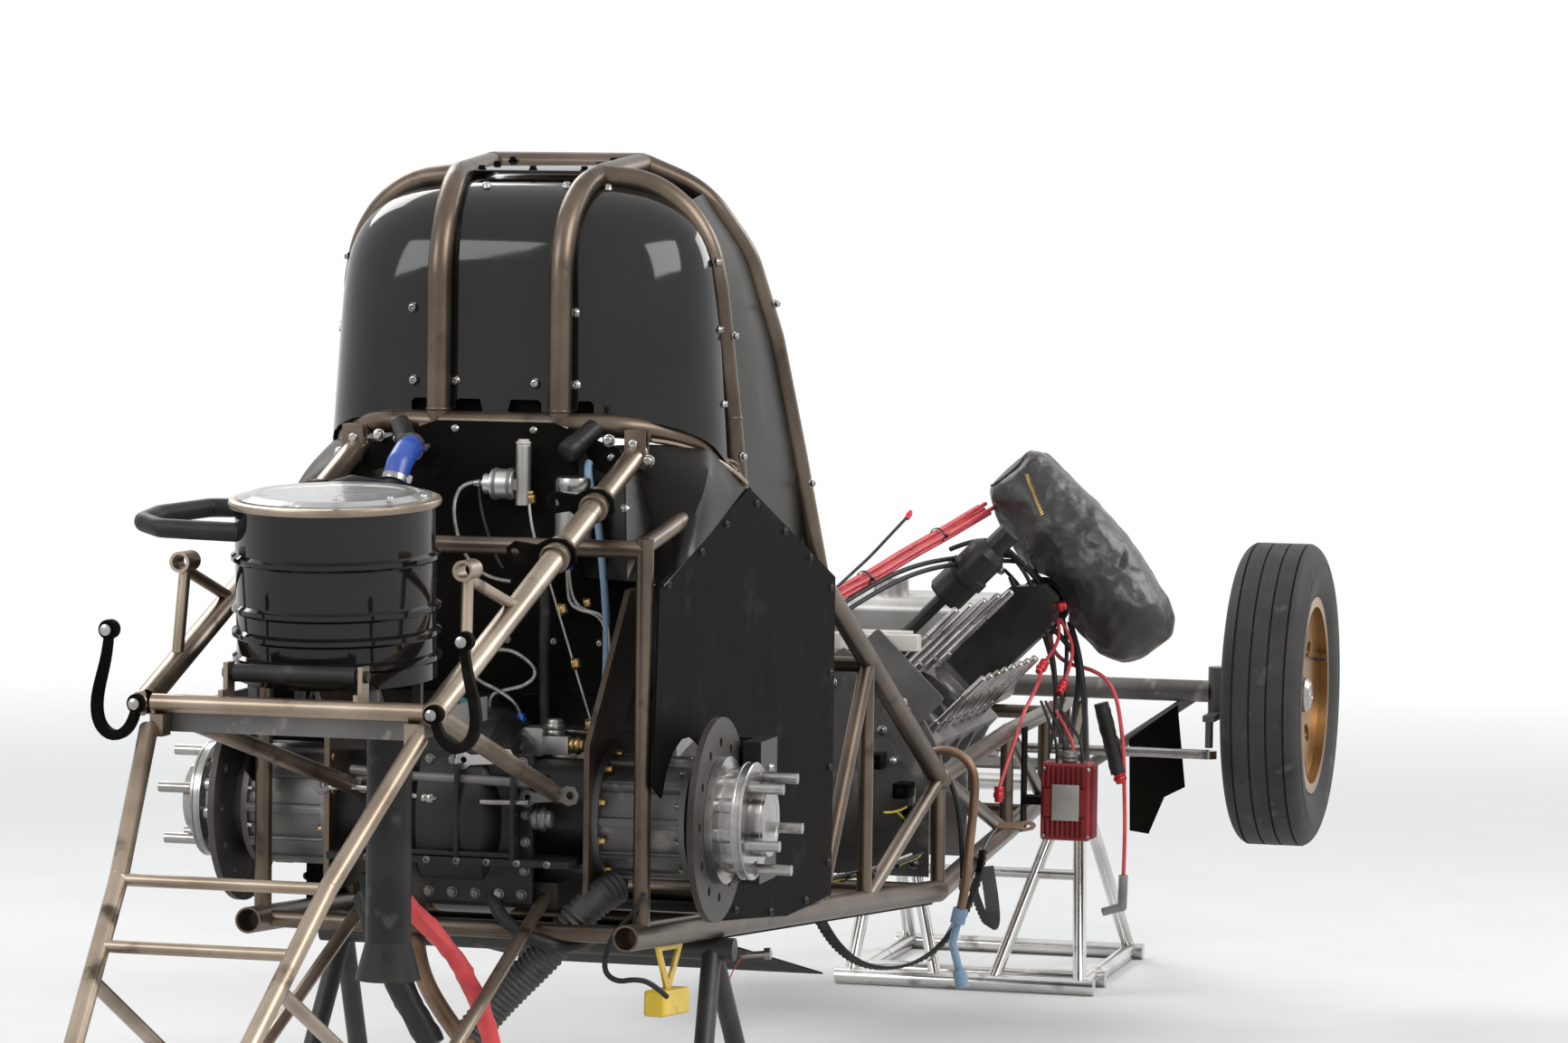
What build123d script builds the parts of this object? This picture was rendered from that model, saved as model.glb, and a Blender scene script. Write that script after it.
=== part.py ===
from build123d import *
import math
import os

# Chassis of a nitro drag racing car with its body and rear wheels off, held on two tubular stands.
# Millimetres. X forward, Y left, Z up. The sub-parts are drawn from the middle of the rear axle,
# and save() moves them so that the origin is on the floor under the middle of the whole object.

# Overall layout
HUB_HEIGHT = 740.0
WHEELBASE = 3175.0
FRONT_WHEEL_DROP = 84.0

# Clearances
SEAT_GAP = 0.3
RUNNING_GAP = 0.08
MOVING_GAP = 6.0

# Main tubes
RAIL_D = 38.0
CAGE_D = 35.0
UPPER_RAIL_D = 32.0
BRACE_D = 25.0
CROSS_D = 27.0
CROSS_X = WHEELBASE - 243.0
NOSE_SPLIT_X = WHEELBASE - 165.0
STRUT_D = 32.0
WELD = 1.03
SLIVER_SHARE = 0.002

# Side plane of the cockpit: half width at the axle, and how it widens forward
SIDE_Y0 = 290.0
SIDE_SLOPE = 0.04
RAIL_REAR_X = -200.0
RAIL_REAR_Z = -150.0
NODE_X = WHEELBASE - 1675.0
NODE_Z = -95.0
UPRIGHT_X = 0.513 * NODE_X
RAIL_NODE_Z = -290.0
RAIL_SLOPE = (RAIL_NODE_Z - RAIL_REAR_Z) / (NODE_X - RAIL_REAR_X)
ENGINE_BAY_X = WHEELBASE - 825.0
ENGINE_BAY_Y = 290.0
NOSE_X = WHEELBASE + 385.0
NOSE_Y = 200.0
RAIL_FRONT_Z = -285.0
UPPER_BAY_Z = -98.0

# Cage: the main hoop's foot, the bar behind the shoulders and the two tubes along the roof
HOOP_X = 300.0
BAR_X = 78.0
BAR_Z = 560.0
ROOF_REAR = (215.0, -110.0, 925.0)
ROOF_FRONT = (415.0, -118.0, 944.0)

# Rear axle
BELL_R = 90.0
BELL_IN_Y = 200.0
BELL_OUT_Y = 335.0
BELL_FLANGE_R = 99.0
BELL_FLANGE_T = 9.0
BELL_RIBS = 10
SHAFT_D = 44.0
DISC_R = 148.0
DISC_T = 10.0
DISC_Y = 355.0
HUB_FACE_Y = 417.0
HUB_END_Y = 440.0
STUD_CIRCLE_D = 139.7
STUD_D = 15.9
STUD_TIP_Y = 470.0
STUD_COUNT = 5
HUB_CLOCKING = 31.0
CENTRE_R = 150.0
CENTRE_HALF = 72.0
HOUSING_R = 80.0
PLATE_T = 8.0
PLATE_LEAN = 14.5

# Front wheels
TYRE_R = 304.8
TYRE_W = 160.0
RIM_R = 190.0
TYRE_Y = 678.0
KINGPIN_Y = 552.0
KINGPIN_D = 18.0
SPINDLE_D = 30.0
AXLE_D = 44.0
AXLE_BRACE_D = 22.0
STEER_ARM = 110.0
TIE_ROD_Z = -197.0
TIE_ROD_D = 20.0
DASH_X = 0.69 * NODE_X
COLUMN_HUB = (DASH_X - 80.0, 0.0, 194.0)
COLUMN_LEAN = 18.0
COLUMN_PIN_D = 20.0
COLUMN_SLEEVE_D = 34.0
DASH_DROP = math.tan(math.radians(COLUMN_LEAN)) * (DASH_X - COLUMN_HUB[0])
DASH_REACH = (COLUMN_SLEEVE_D / 2 + BRACE_D / 2 - 1) / math.cos(math.radians(COLUMN_LEAN))
DASH_Z = COLUMN_HUB[2] - DASH_DROP - DASH_REACH

# Engine
CRANK_Z = -190.0
BLOCK_REAR_X = WHEELBASE - 1205.0
BLOCK_LENGTH = 600.0
BORE_SPACING = 122.0
BORE_D = 106.0
BORE_DEPTH = 140.0
SLEEVE_WALL = 5.0
SLEEVE_LIP = 2.5
SLEEVE_LENGTH = 28.0
DECK_HEIGHT = 230.0
DECK_HALF = 90.0
HEAD_STUD_D = 12.7
INNER_STUD_ROW = 60.0
INNER_STUD_LENGTH = 200.0
OUTER_STUD_ROW = 64.0
OUTER_STUD_SPACING = 66.0
OUTER_STUD_LENGTH = 148.0
MOTOR_PLATE_T = 12.0
MOTOR_PLATE_R = 262.0
BANK_PLATE_T = 6.0
CANISTER_R = 38.0
BELLHOUSING_X = NODE_X + 60.0
MAGNETO_Y = 285.0
MAGNETO_Z = 120.0

# Catch can
CAN_X = -625.0
CAN_R = 140.0
CAN_BOTTOM_Z = 248.0
CAN_HEIGHT = 240.0
CAN_LEAN = 4.0

# Wheelie bar
WHEELIE_X = -1430.0
WHEELIE_Z = -285.0
WHEELIE_R = 50.0
WHEELIE_HALF = 92.0

# Stands
STAND_FRONT_X = NOSE_X + 330.0
STAND_TUBE_R = 17.0

# The object reaches from the wheelie wheels to the front stand's base
SHIFT_X = (WHEELIE_R - WHEELIE_X - STAND_FRONT_X - STAND_TUBE_R) / 2

nodes = {}


def side_y(x):
    """Half width of the cockpit's side plane at station x."""
    return SIDE_Y0 + SIDE_SLOPE * x


def rail_z(x):
    """Height of the cockpit's bottom rail at station x."""
    return RAIL_REAR_Z + RAIL_SLOPE * (x - RAIL_REAR_X)


def flip(p):
    return (p[0], -p[1], p[2])


def both(shape):
    """A right-hand shape and its mirror image."""
    return [shape, mirror(shape, about=Plane.XZ)]


def rod(a, b, d):
    """Round bar from point a to point b."""
    a, b = Vector(*a), Vector(*b)
    return Solid.make_cylinder(d / 2, (b - a).length, Plane(a, z_dir=b - a))


def ball(p, d):
    return Pos(*p) * Sphere(d / 2)


def box(x0, x1, y0, y1, z0, z1):
    return Pos((x0 + x1) / 2, (y0 + y1) / 2, (z0 + z1) / 2) * Box(x1 - x0, y1 - y0, z1 - z0)


def bent_tube(points, radius, d):
    """Round bar along straight runs with rounded corners."""
    path = FilletPolyline(*[Vector(*p) for p in points], radius=radius)
    start = Plane(path @ 0, z_dir=path % 0)
    return sweep(start * Circle(d / 2), path=path)


def chain(points, d):
    """Straight bars joined by welded corners."""
    shapes = [rod(a, b, d) for a, b in zip(points, points[1:])]
    return shapes + [ball(p, d * WELD) for p in points[1:-1]]


def fuse(shapes):
    shapes = list(shapes)
    return shapes[0].fuse(*shapes[1:]) if len(shapes) > 1 else shapes[0]


def fuse_mirrored(right, middle=()):
    """One solid from right-hand shapes, their mirror images and what joins the two sides."""
    side = fuse(right)
    return fuse([side, mirror(side, about=Plane.XZ)] + list(middle))


def turned_y(profile):
    """Solid turned about the Y axis from (radius, y) pairs."""
    outline = Polyline(*[(r, y, 0) for r, y in profile], close=True)
    return revolve(make_face(outline), axis=Axis.Y)


def turned_x(profile, centre_y=0.0, centre_z=0.0):
    """Solid turned about an axis along X from (x, radius) pairs."""
    outline = Polyline(*[(x, r, 0) for x, r in profile], close=True)
    return Pos(0, centre_y, centre_z) * revolve(make_face(outline), axis=Axis.X)


def turned_z(profile):
    """Solid turned about the Z axis from (radius, z) pairs."""
    outline = Polyline(*[(r, 0, z) for r, z in profile], close=True)
    return revolve(make_face(outline), axis=Axis.Z)


def plate_xz(points, y0, y1):
    """Flat plate with an outline of (x, z) points, between two y planes."""
    face = make_face(Polyline(*[(x, 0, z) for x, z in points], close=True))
    return Pos(0, y0, 0) * extrude(face, amount=y1 - y0, dir=(0, 1, 0))


def plate_yz(points, x0, x1):
    """Flat plate with an outline of (y, z) points, between two x planes."""
    face = make_face(Polyline(*[(0, y, z) for y, z in points], close=True))
    return Pos(x0, 0, 0) * extrude(face, amount=x1 - x0, dir=(1, 0, 0))


def save(name, *shapes):
    """Keep a node's solids, without the slivers that a cut can leave."""
    solids = [solid for shape in shapes for solid in shape.solids()]
    largest = max(solid.volume for solid in solids)
    nodes[name] = [solid for solid in solids if solid.volume > SLIVER_SHARE * largest]


# Whole welded frame, drawn as one and split where the real one is described in sections
def frame_tubes():
    side = []
    rails = []
    bottom = [
        (RAIL_REAR_X, -side_y(RAIL_REAR_X), RAIL_REAR_Z),
        (NODE_X, -side_y(NODE_X), RAIL_NODE_Z),
        (ENGINE_BAY_X, -ENGINE_BAY_Y, RAIL_FRONT_Z),
        (NOSE_X, -NOSE_Y, RAIL_FRONT_Z),
    ]
    rails += chain(bottom, RAIL_D)
    upper = [
        (NODE_X, -side_y(NODE_X), NODE_Z),
        (ENGINE_BAY_X, -ENGINE_BAY_Y, UPPER_BAY_Z),
        (WHEELBASE, -axle_rail_y(WHEELBASE), upper_axle_z()),
        (NOSE_X, -NOSE_Y, upper_axle_z()),
    ]
    side += chain(upper, UPPER_RAIL_D)
    pillar = [
        ROOF_FRONT,
        (450, -205, 905),
        (500, -262, 810),
        (575, -285, 680),
        (655, -303, 500),
        (745, -side_y(745), 300),
        (NODE_X, -side_y(NODE_X), NODE_Z),
    ]
    side += chain(pillar, CAGE_D)
    side.append(ball(pillar[-1], CAGE_D * 1.25))
    hoop_x = HOOP_X
    hoop_y = side_y(hoop_x)
    side.append(rod((hoop_x, -hoop_y, 480), (hoop_x, -hoop_y, rail_z(hoop_x)), BRACE_D))
    # x of the foot, x of the head, z of the head: uprights and diagonals of the cockpit side
    for foot, head, head_z in (
        (-130, -130, 410),
        (UPRIGHT_X, UPRIGHT_X - 10, 290),
        (DASH_X, DASH_X, DASH_Z),
        (NODE_X, NODE_X, NODE_Z),
        (UPRIGHT_X, DASH_X, DASH_Z),
        (DASH_X, NODE_X, NODE_Z),
        (UPRIGHT_X, hoop_x, 240),
    ):
        a = (foot, -side_y(foot), rail_z(foot))
        side.append(rod(a, (head, -side_y(head), head_z), BRACE_D))
    # x of the foot and head of the braces beside the engine and at the nose
    tank_x, rear_x, nose_x = WHEELBASE - 275, WHEELBASE + 50, NOSE_X - 40
    for foot, head in ((ENGINE_BAY_X, NODE_X + 20), (ENGINE_BAY_X, ENGINE_BAY_X), (tank_x, ENGINE_BAY_X + 20),
                       (tank_x, tank_x), (rear_x, rear_x), (rear_x, nose_x), (nose_x, nose_x)):
        side.append(rod(bay_point(foot, bottom), bay_point(head, upper), BRACE_D))
    side.append(rod((-130, -side_y(-130), 400), (hoop_x, -hoop_y, 470), BRACE_D))
    cross = []
    # x, z and diameter of the cross tubes between the two sides
    for x, z in ((-130, 395), (-130, rail_z(-130)), (hoop_x, rail_z(hoop_x)), (DASH_X, rail_z(DASH_X)),
                 (NODE_X, RAIL_NODE_Z)):
        cross.append(rod((x, -side_y(x), z), (x, side_y(x), z), BRACE_D))
    for x, line in ((ENGINE_BAY_X + 330, bottom), (CROSS_X, upper),
                    (NOSE_X - 16, bottom), (NOSE_X - 16, upper)):
        p = bay_point(x, line)
        cross.append(rod(p, flip(p), CROSS_D))
    # dash bar across the cockpit, ahead of the steering wheel
    dash = (DASH_X, -side_y(DASH_X), DASH_Z)
    cross.append(rod(dash, flip(dash), BRACE_D))
    hoops = []
    rear_hoop = [(BAR_X, -93, 540), (BAR_X, -93, 800), (107, -94, 863), (160, -100, 909),
                 ROOF_REAR, ROOF_FRONT]
    hoops += chain(rear_hoop, CAGE_D)
    main = [(230, -112, 929), (232, -181, 917), (238, -234, 882), (244, -269, 829), (250, -282, 766),
            (282, -294, 590), (hoop_x, -hoop_y, 470)]
    hoops += chain(main, CAGE_D)
    shoulder = [(hoop_x, -hoop_y, 470), (180, -268, 540), (95, -190, BAR_Z), (BAR_X, -93, BAR_Z)]
    hoops += chain(shoulder, CAGE_D)
    hoops.append(ball(shoulder[-1], CAGE_D * WELD))
    middle = [rod(shoulder[-1], flip(shoulder[-1]), CAGE_D), rod(ROOF_FRONT, flip(ROOF_FRONT), CAGE_D),
              ball(ROOF_FRONT, CAGE_D * WELD), ball(flip(ROOF_FRONT), CAGE_D * WELD)]
    right = rails + side + hoops
    whole = right + [mirror(s, about=Plane.XZ) for s in right] + cross + middle
    frame = fuse(whole)
    ends = [rod((RAIL_REAR_X - 1, y, RAIL_REAR_Z), (RAIL_REAR_X + 60, y * 1.008, RAIL_REAR_Z - 5), RAIL_D - 6)
            for y in (-side_y(RAIL_REAR_X), side_y(RAIL_REAR_X))]
    return frame.cut(*ends)


def bay_point(x, line):
    """Point of a polyline at station x."""
    for a, b in zip(line, line[1:]):
        if a[0] <= x <= b[0]:
            t = (x - a[0]) / (b[0] - a[0])
            return tuple(p + t * (q - p) for p, q in zip(a, b))
    return line[-1]


def bay_half(x):
    """Half width between the rail centres ahead of the cockpit."""
    if x > ENGINE_BAY_X:
        return axle_rail_y(x)
    return side_y(NODE_X) + (ENGINE_BAY_Y - side_y(NODE_X)) * (x - NODE_X) / (ENGINE_BAY_X - NODE_X)


def axle_rail_y(x):
    return ENGINE_BAY_Y + (NOSE_Y - ENGINE_BAY_Y) * (x - ENGINE_BAY_X) / (NOSE_X - ENGINE_BAY_X)


def upper_axle_z():
    """The upper rail passes just under the front axle."""
    return -FRONT_WHEEL_DROP - AXLE_D / 2 - UPPER_RAIL_D / 2 - SEAT_GAP


def column_place():
    return Pos(*COLUMN_HUB) * Rot(0, COLUMN_LEAN, 0)


def make_frame():
    frame = frame_tubes()
    big = 3000
    cage_z = 440
    save("roll_cage", frame & box(-big, big, -big, big, cage_z, big))
    place = column_place()
    sleeve = place * rod((26, 0, 0), (150, 0, 0), COLUMN_SLEEVE_D)
    bore = place * rod((0, 0, 0), (200, 0, 0), COLUMN_PIN_D + 2 * RUNNING_GAP)
    cockpit = frame & box(-big, NODE_X + 60, -big, big, -big, cage_z)
    save("cockpit_frame", cockpit.fuse(sleeve) - bore)
    save("engine_frame", frame & box(NODE_X + 60, NOSE_SPLIT_X, -big, big, -big, cage_z))
    save("nose_frame", frame & box(NOSE_SPLIT_X, 2 * big, -big, big, -big, cage_z))
    return frame


# Black shell round the driver's head
DOME_REAR_X = BAR_X + CAGE_D / 2 + SEAT_GAP
DOME_FRONT_X = 400.0
DOME_HALF = 258.0
DOME_BOTTOM_Z = BAR_Z + CAGE_D / 2 + 4.5
DOME_TOP_Z = ROOF_REAR[2] - CAGE_D / 2 - 1.5
DOME_CORNER = 160.0
DOME_EDGE = 140.0
SHELL_T = 3.0


def dome_block(inset):
    """Rounded block whose skin is the dome, smaller all round by the inset."""
    x0 = DOME_REAR_X + inset
    half = DOME_HALF - inset
    corner = DOME_CORNER - inset
    plan = Pos((x0 + DOME_FRONT_X + 200) / 2, 0) * RectangleRounded(DOME_FRONT_X + 200 - x0, 2 * half, corner)
    height = DOME_TOP_Z - inset - DOME_BOTTOM_Z
    block = Pos(0, 0, DOME_BOTTOM_Z) * extrude(plan, amount=height)
    top = block.faces().sort_by(Axis.Z)[-1]
    return fillet(top.edges(), DOME_EDGE - inset)


def roof_point(x):
    """Edge of the plate that lies between the two tubes along the roof."""
    t = (x - ROOF_REAR[0]) / (ROOF_FRONT[0] - ROOF_REAR[0])
    y, z = (a + t * (b - a) for a, b in zip(ROOF_REAR[1:], ROOF_FRONT[1:]))
    return (x, y + CAGE_D / 2 + SEAT_GAP, z)


def make_dome(frame):
    inner = dome_block(SHELL_T)
    shell = dome_block(0) - (inner + Pos(0, 0, -20) * inner)
    shell = shell & box(0, DOME_FRONT_X, -400, 400, DOME_BOTTOM_Z, 2000)
    # y of the middle and width of the cut-outs along the rear lower edge
    for y, width in ((150, 34), (0, 110), (-145, 60)):
        shell -= box(0, 200, y - width / 2, y + width / 2, DOME_BOTTOM_Z, DOME_BOTTOM_Z + 16)
    save("dome_shroud", shell - frame)
    roof = [roof_point(x) for x in (232, 396)]
    corners = roof + [flip(p) for p in roof[::-1]]
    plate = extrude(make_face(Polyline(*corners, close=True)), amount=4, dir=(0, 0, 1))
    panel = plate_xz([(322, 905), (448, 880), (495, 800), (560, 680), (632, 512), (322, 470)], -2, 2)
    right = Pos(0, -277, 0) * panel
    save("cage_panels", Pos(0, 0, -2) * plate - frame, *[s - frame for s in both(right)])


# Panels round the driver
BACK_T = 3.0
BACK_X = BAR_X - CAGE_D * WELD / 2 - SEAT_GAP - BACK_T


def make_panels(struts):
    half = [(88, BAR_Z + 4), (190, 528), (222, 400), (222, 330), (180, 165)]
    outline = half + [(-y, z) for y, z in half[::-1]]
    save("back_panel", plate_yz(outline, BACK_X, BACK_X + BACK_T))
    # corners of the glossy lower shroud: below the shoulder bar, at the hoop, and at the rear upright
    inner, outer, hoop, rear = (60, -196, 524), (180, -240, 512), (290, -272, 448), (-108, -250, 350)
    facets = []
    for corners in ((inner, outer, rear), (outer, hoop, rear)):
        face = make_face(Polyline(*corners, close=True))
        facets.append(extrude(face, amount=3, dir=(-0.3, -1, 0)))
    save("lower_shroud", *[s - struts for s in both(fuse(facets))])
    gap = RAIL_D / 2 + SEAT_GAP
    front = UPRIGHT_X - 5
    outline = [(-130, 345), (300, 462), (front, 300), (front, -205), (520, -208), (150, -165), (150, 0)]
    arch = [(math.cos(a) * 118, math.sin(a) * 118) for a in [math.radians(d) for d in range(20, 161, 20)]]
    outline += arch + [(-150, 60)]
    panel = Rot(0, 0, -math.degrees(math.atan(SIDE_SLOPE))) * plate_xz(outline, 0, 3)
    save("side_panels", *both(Pos(0, -(SIDE_Y0 + gap + 3), 0) * panel))
    slope = math.degrees(math.atan(-RAIL_SLOPE))
    x0, x1 = HOOP_X - 25, NODE_X - 30
    length = (x1 - x0) / math.cos(math.radians(slope))
    corners = [(0, -side_y(x0)), (length, -side_y(x1)), (length, side_y(x1)), (0, side_y(x0))]
    pan = extrude(make_face(Polyline(*corners, close=True)), amount=-3)
    pan = Pos(x0, 0, rail_z(x0) - RAIL_D / 2 - SEAT_GAP) * Rot(0, slope, 0) * pan
    save("floor_pan", pan)
    sheet = box(0, 760, -262, 240, -3, 0)
    save("belly_sheet", Pos(HOOP_X, 0, rail_z(HOOP_X) - RAIL_D / 2 - 4) * Rot(0, 12, 0) * sheet)


def make_seat():
    profile = [(66, 520), (80, 300), (130, 170), (190, 82), (300, 58), (560, 92)]
    thickness = 6.0
    inner = [(x + thickness, z + thickness) for x, z in profile]
    face = make_face(Polyline(*[(x, 0, z) for x, z in profile + inner[::-1]], close=True))
    pan = Pos(0, -190, 0) * extrude(face, amount=380, dir=(0, 1, 0))
    cheek = [(67, 500), (81, 300), (131, 171), (191, 83), (300, 59), (558, 93), (520, 190), (330, 200),
             (240, 300), (180, 480)]
    sides = [plate_xz(cheek, -196, -190), plate_xz(cheek, 190, 196)]
    ear_end = side_y(HOOP_X) - BRACE_D / 2 - SEAT_GAP
    ears = both(box(HOOP_X - 15, HOOP_X + 15, -ear_end, -192, 148, 152))
    save("seat", fuse([pan] + sides + ears))


# Rear axle
def make_axle():
    bore_r = SHAFT_D / 2 + 4
    tube_end = BELL_IN_Y - SEAT_GAP
    tube = turned_y([(bore_r, -tube_end), (HOUSING_R, -tube_end), (HOUSING_R, tube_end), (bore_r, tube_end)])
    drum = turned_y([(bore_r, -CENTRE_HALF), (CENTRE_R - 25, -CENTRE_HALF), (CENTRE_R, -CENTRE_HALF + 25),
                     (CENTRE_R, CENTRE_HALF - 25), (CENTRE_R - 25, CENTRE_HALF), (bore_r, CENTRE_HALF)])
    snout = turned_x([(60, 0), (60, 105), (200, 78), (315, 62), (315, 0)], 0, -20)
    bore = rod((0, -300, 0), (0, 300, 0), 2 * bore_r)
    flange = box(-122, -112, -120, 120, -118, 96)
    belt = box(-150, 130, -182, 182, -62, -52)
    foot = box(-95, 95, -150, 150, -128, -90)
    pads = [box(-112, -60, y - 30, y + 30, 10, 62) for y in (-95, 95)]
    housing = fuse([tube, drum, snout, flange, belt, foot] + pads) - bore
    save("axle_housing", housing)
    land_r = SHAFT_D / 2 + RUNNING_GAP
    waist_r = BELL_R - 8
    inner_y = BELL_IN_Y + BELL_FLANGE_T
    outer_y = BELL_OUT_Y - BELL_FLANGE_T
    bell = turned_y([(land_r, BELL_IN_Y), (BELL_FLANGE_R, BELL_IN_Y), (BELL_FLANGE_R, inner_y),
                     (waist_r, inner_y), (waist_r, outer_y), (BELL_R, outer_y), (BELL_R, BELL_OUT_Y),
                     (land_r, BELL_OUT_Y)])
    rib = box(waist_r - 3, BELL_R, inner_y - 1, outer_y + 1, -6, 6)
    ribs = [Rot(0, 360 / BELL_RIBS * i, 0) * rib for i in range(BELL_RIBS)]
    save("axle_bells", *both(fuse([bell] + ribs)))
    outline = [(-110, -118), (95, -118), (125, -40), (125, 110), (-110, 110)]
    low = plate_xz(outline, -tube_end, -tube_end + PLATE_T)
    hole = rod((0, -300, 0), (0, 0, 0), 2 * HOUSING_R + 2 * SEAT_GAP)
    high = plate_xz([(-110, -2), (50, -2), (50, 232), (-110, 232)], 0, PLATE_T)
    high = Pos(0, -tube_end, 110) * Rot(PLATE_LEAN, 0, 0) * high
    save("axle_plates", *both(fuse([low - hole, high])))


def make_spool():
    half_shaft = rod((0, SEAT_GAP / 2, 0), (0, HUB_END_Y, 0), SHAFT_D)
    pad = MOVING_GAP
    hub = turned_y([(0, BELL_OUT_Y + pad), (62, BELL_OUT_Y + pad), (62, DISC_Y + DISC_T),
                    (92, DISC_Y + DISC_T), (92, DISC_Y + 22), (70, DISC_Y + 26), (70, DISC_Y + 42),
                    (84, DISC_Y + 46), (84, HUB_FACE_Y), (50, HUB_FACE_Y), (50, HUB_END_Y), (0, HUB_END_Y)])
    studs = []
    for i in range(STUD_COUNT):
        a = math.radians(360 / STUD_COUNT * i + 18)
        x, z = STUD_CIRCLE_D / 2 * math.cos(a), STUD_CIRCLE_D / 2 * math.sin(a)
        studs.append(rod((x, DISC_Y + 50, z), (x, STUD_TIP_Y, z), STUD_D))
    hub = fuse([hub, half_shaft] + studs)
    disc = turned_y([(62 + SEAT_GAP, DISC_Y), (DISC_R, DISC_Y), (DISC_R, DISC_Y + DISC_T - 0.5),
                     (62 + SEAT_GAP, DISC_Y + DISC_T - 0.5)])
    hole = rod((112, DISC_Y - 5, 0), (112, DISC_Y + 20, 0), 14)
    disc = disc.cut(*[Rot(0, 30 * i, 0) * hole for i in range(12)])
    save("rear_hub_left", hub)
    save("rear_hub_right", Rot(0, HUB_CLOCKING, 0) * mirror(hub, about=Plane.XZ))
    save("brake_discs", *both(disc))


def make_calipers():
    shapes = []
    for z in (62, -62):
        body = box(96, 178, DISC_Y - 34, DISC_Y + DISC_T + 34, z - 42, z + 42)
        slot = box(60, 160, DISC_Y - 7, DISC_Y + DISC_T + 7, z - 60, z + 60)
        ring = rod((0, DISC_Y - 60, 0), (0, DISC_Y + 80, 0), 2 * 104)
        shapes.append(body - slot - ring)
    bridge = box(178, 190, DISC_Y - 34, DISC_Y + 44, -104, 104)
    arm = box(BELL_R + SEAT_GAP, 190, BELL_OUT_Y - 12, BELL_OUT_Y - 1, -18, 18)
    caliper = fuse(shapes + [bridge, arm])
    save("brake_calipers", *both(caliper))


# Struts and fittings behind the driver
STRUT_TOP = (66.0, -214.0, 522.0)
STRUT_END = (-820.0, -200.0, 222.0)
BODY_SOCKET = (-678.0, -198.0, 399.0)
SOCKET_D = 28.0
SOCKET_BORE_D = 20.0
SOCKET_LENGTH = 44.0
ROLLER_X = -790.0
ROLLER_Z = 263.0
ROLLER_D = 24.0
ROLLER_HALF = 100.0


def make_rear_struts(frame, housing):
    top, end = STRUT_TOP, STRUT_END
    x, y, z = BODY_SOCKET
    along = [tuple(a + t * (b - a) for a, b in zip(top, end)) for t in (0.62, 0.86)]
    low = (x, y, z - SOCKET_D / 2 + 3)
    socket_ends = ((x - SOCKET_LENGTH / 2, y, z), (x + SOCKET_LENGTH / 2, y, z))
    parts = [rod(top, end, STRUT_D), rod(along[0], low, 16), rod(along[1], low, 16),
             rod(*socket_ends, SOCKET_D), ball(top, STRUT_D * 1.1), rod(top, (118, -214, 552), 20),
             rod(end, (-60, -150, 26), BRACE_D), ball(end, STRUT_D * 1.1)]
    # collars on the strut, as a share of its length
    for share in (0.2, 0.4):
        a, b = (tuple(p + t * (q - p) for p, q in zip(top, end)) for t in (share, share + 0.035))
        parts.append(rod(a, b, STRUT_D + 8))
    # brackets from the cross bar to the roller behind the can
    bracket_y = ROLLER_HALF - 12
    parts.append(box(ROLLER_X - 14, ROLLER_X + 14, -bracket_y - 8, -bracket_y - 2, end[2] + 8, ROLLER_Z + 14))
    parts.append(box(end[0] - 2, ROLLER_X + 14, -bracket_y - 8, -bracket_y - 2, end[2] + 4, end[2] + 20))
    struts = fuse_mirrored(parts, [rod(end, flip(end), BRACE_D)])
    bore = rod((x - 60, y, z), (x + 60, y, z), SOCKET_BORE_D)
    roller_bore = rod((ROLLER_X, -200, ROLLER_Z), (ROLLER_X, 200, ROLLER_Z), ROLLER_D - 8 + 2 * SEAT_GAP)
    struts = struts - frame - housing - bore - mirror(bore, about=Plane.XZ) - roller_bore
    save("rear_struts", struts)
    outline = [(-8, 150), (8, 150), (10, 60), (14, 10), (8, -8), (-40, -14), (-56, 4), (-56, 52), (-42, 52),
               (-40, 14), (-12, 14), (-10, 60)]
    hook = Pos(end[0] - 8, end[1] - 24, end[2] - 30) * plate_xz(outline, -6, 6)
    save("rear_hooks", *[h - struts for h in both(hook)])


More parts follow.
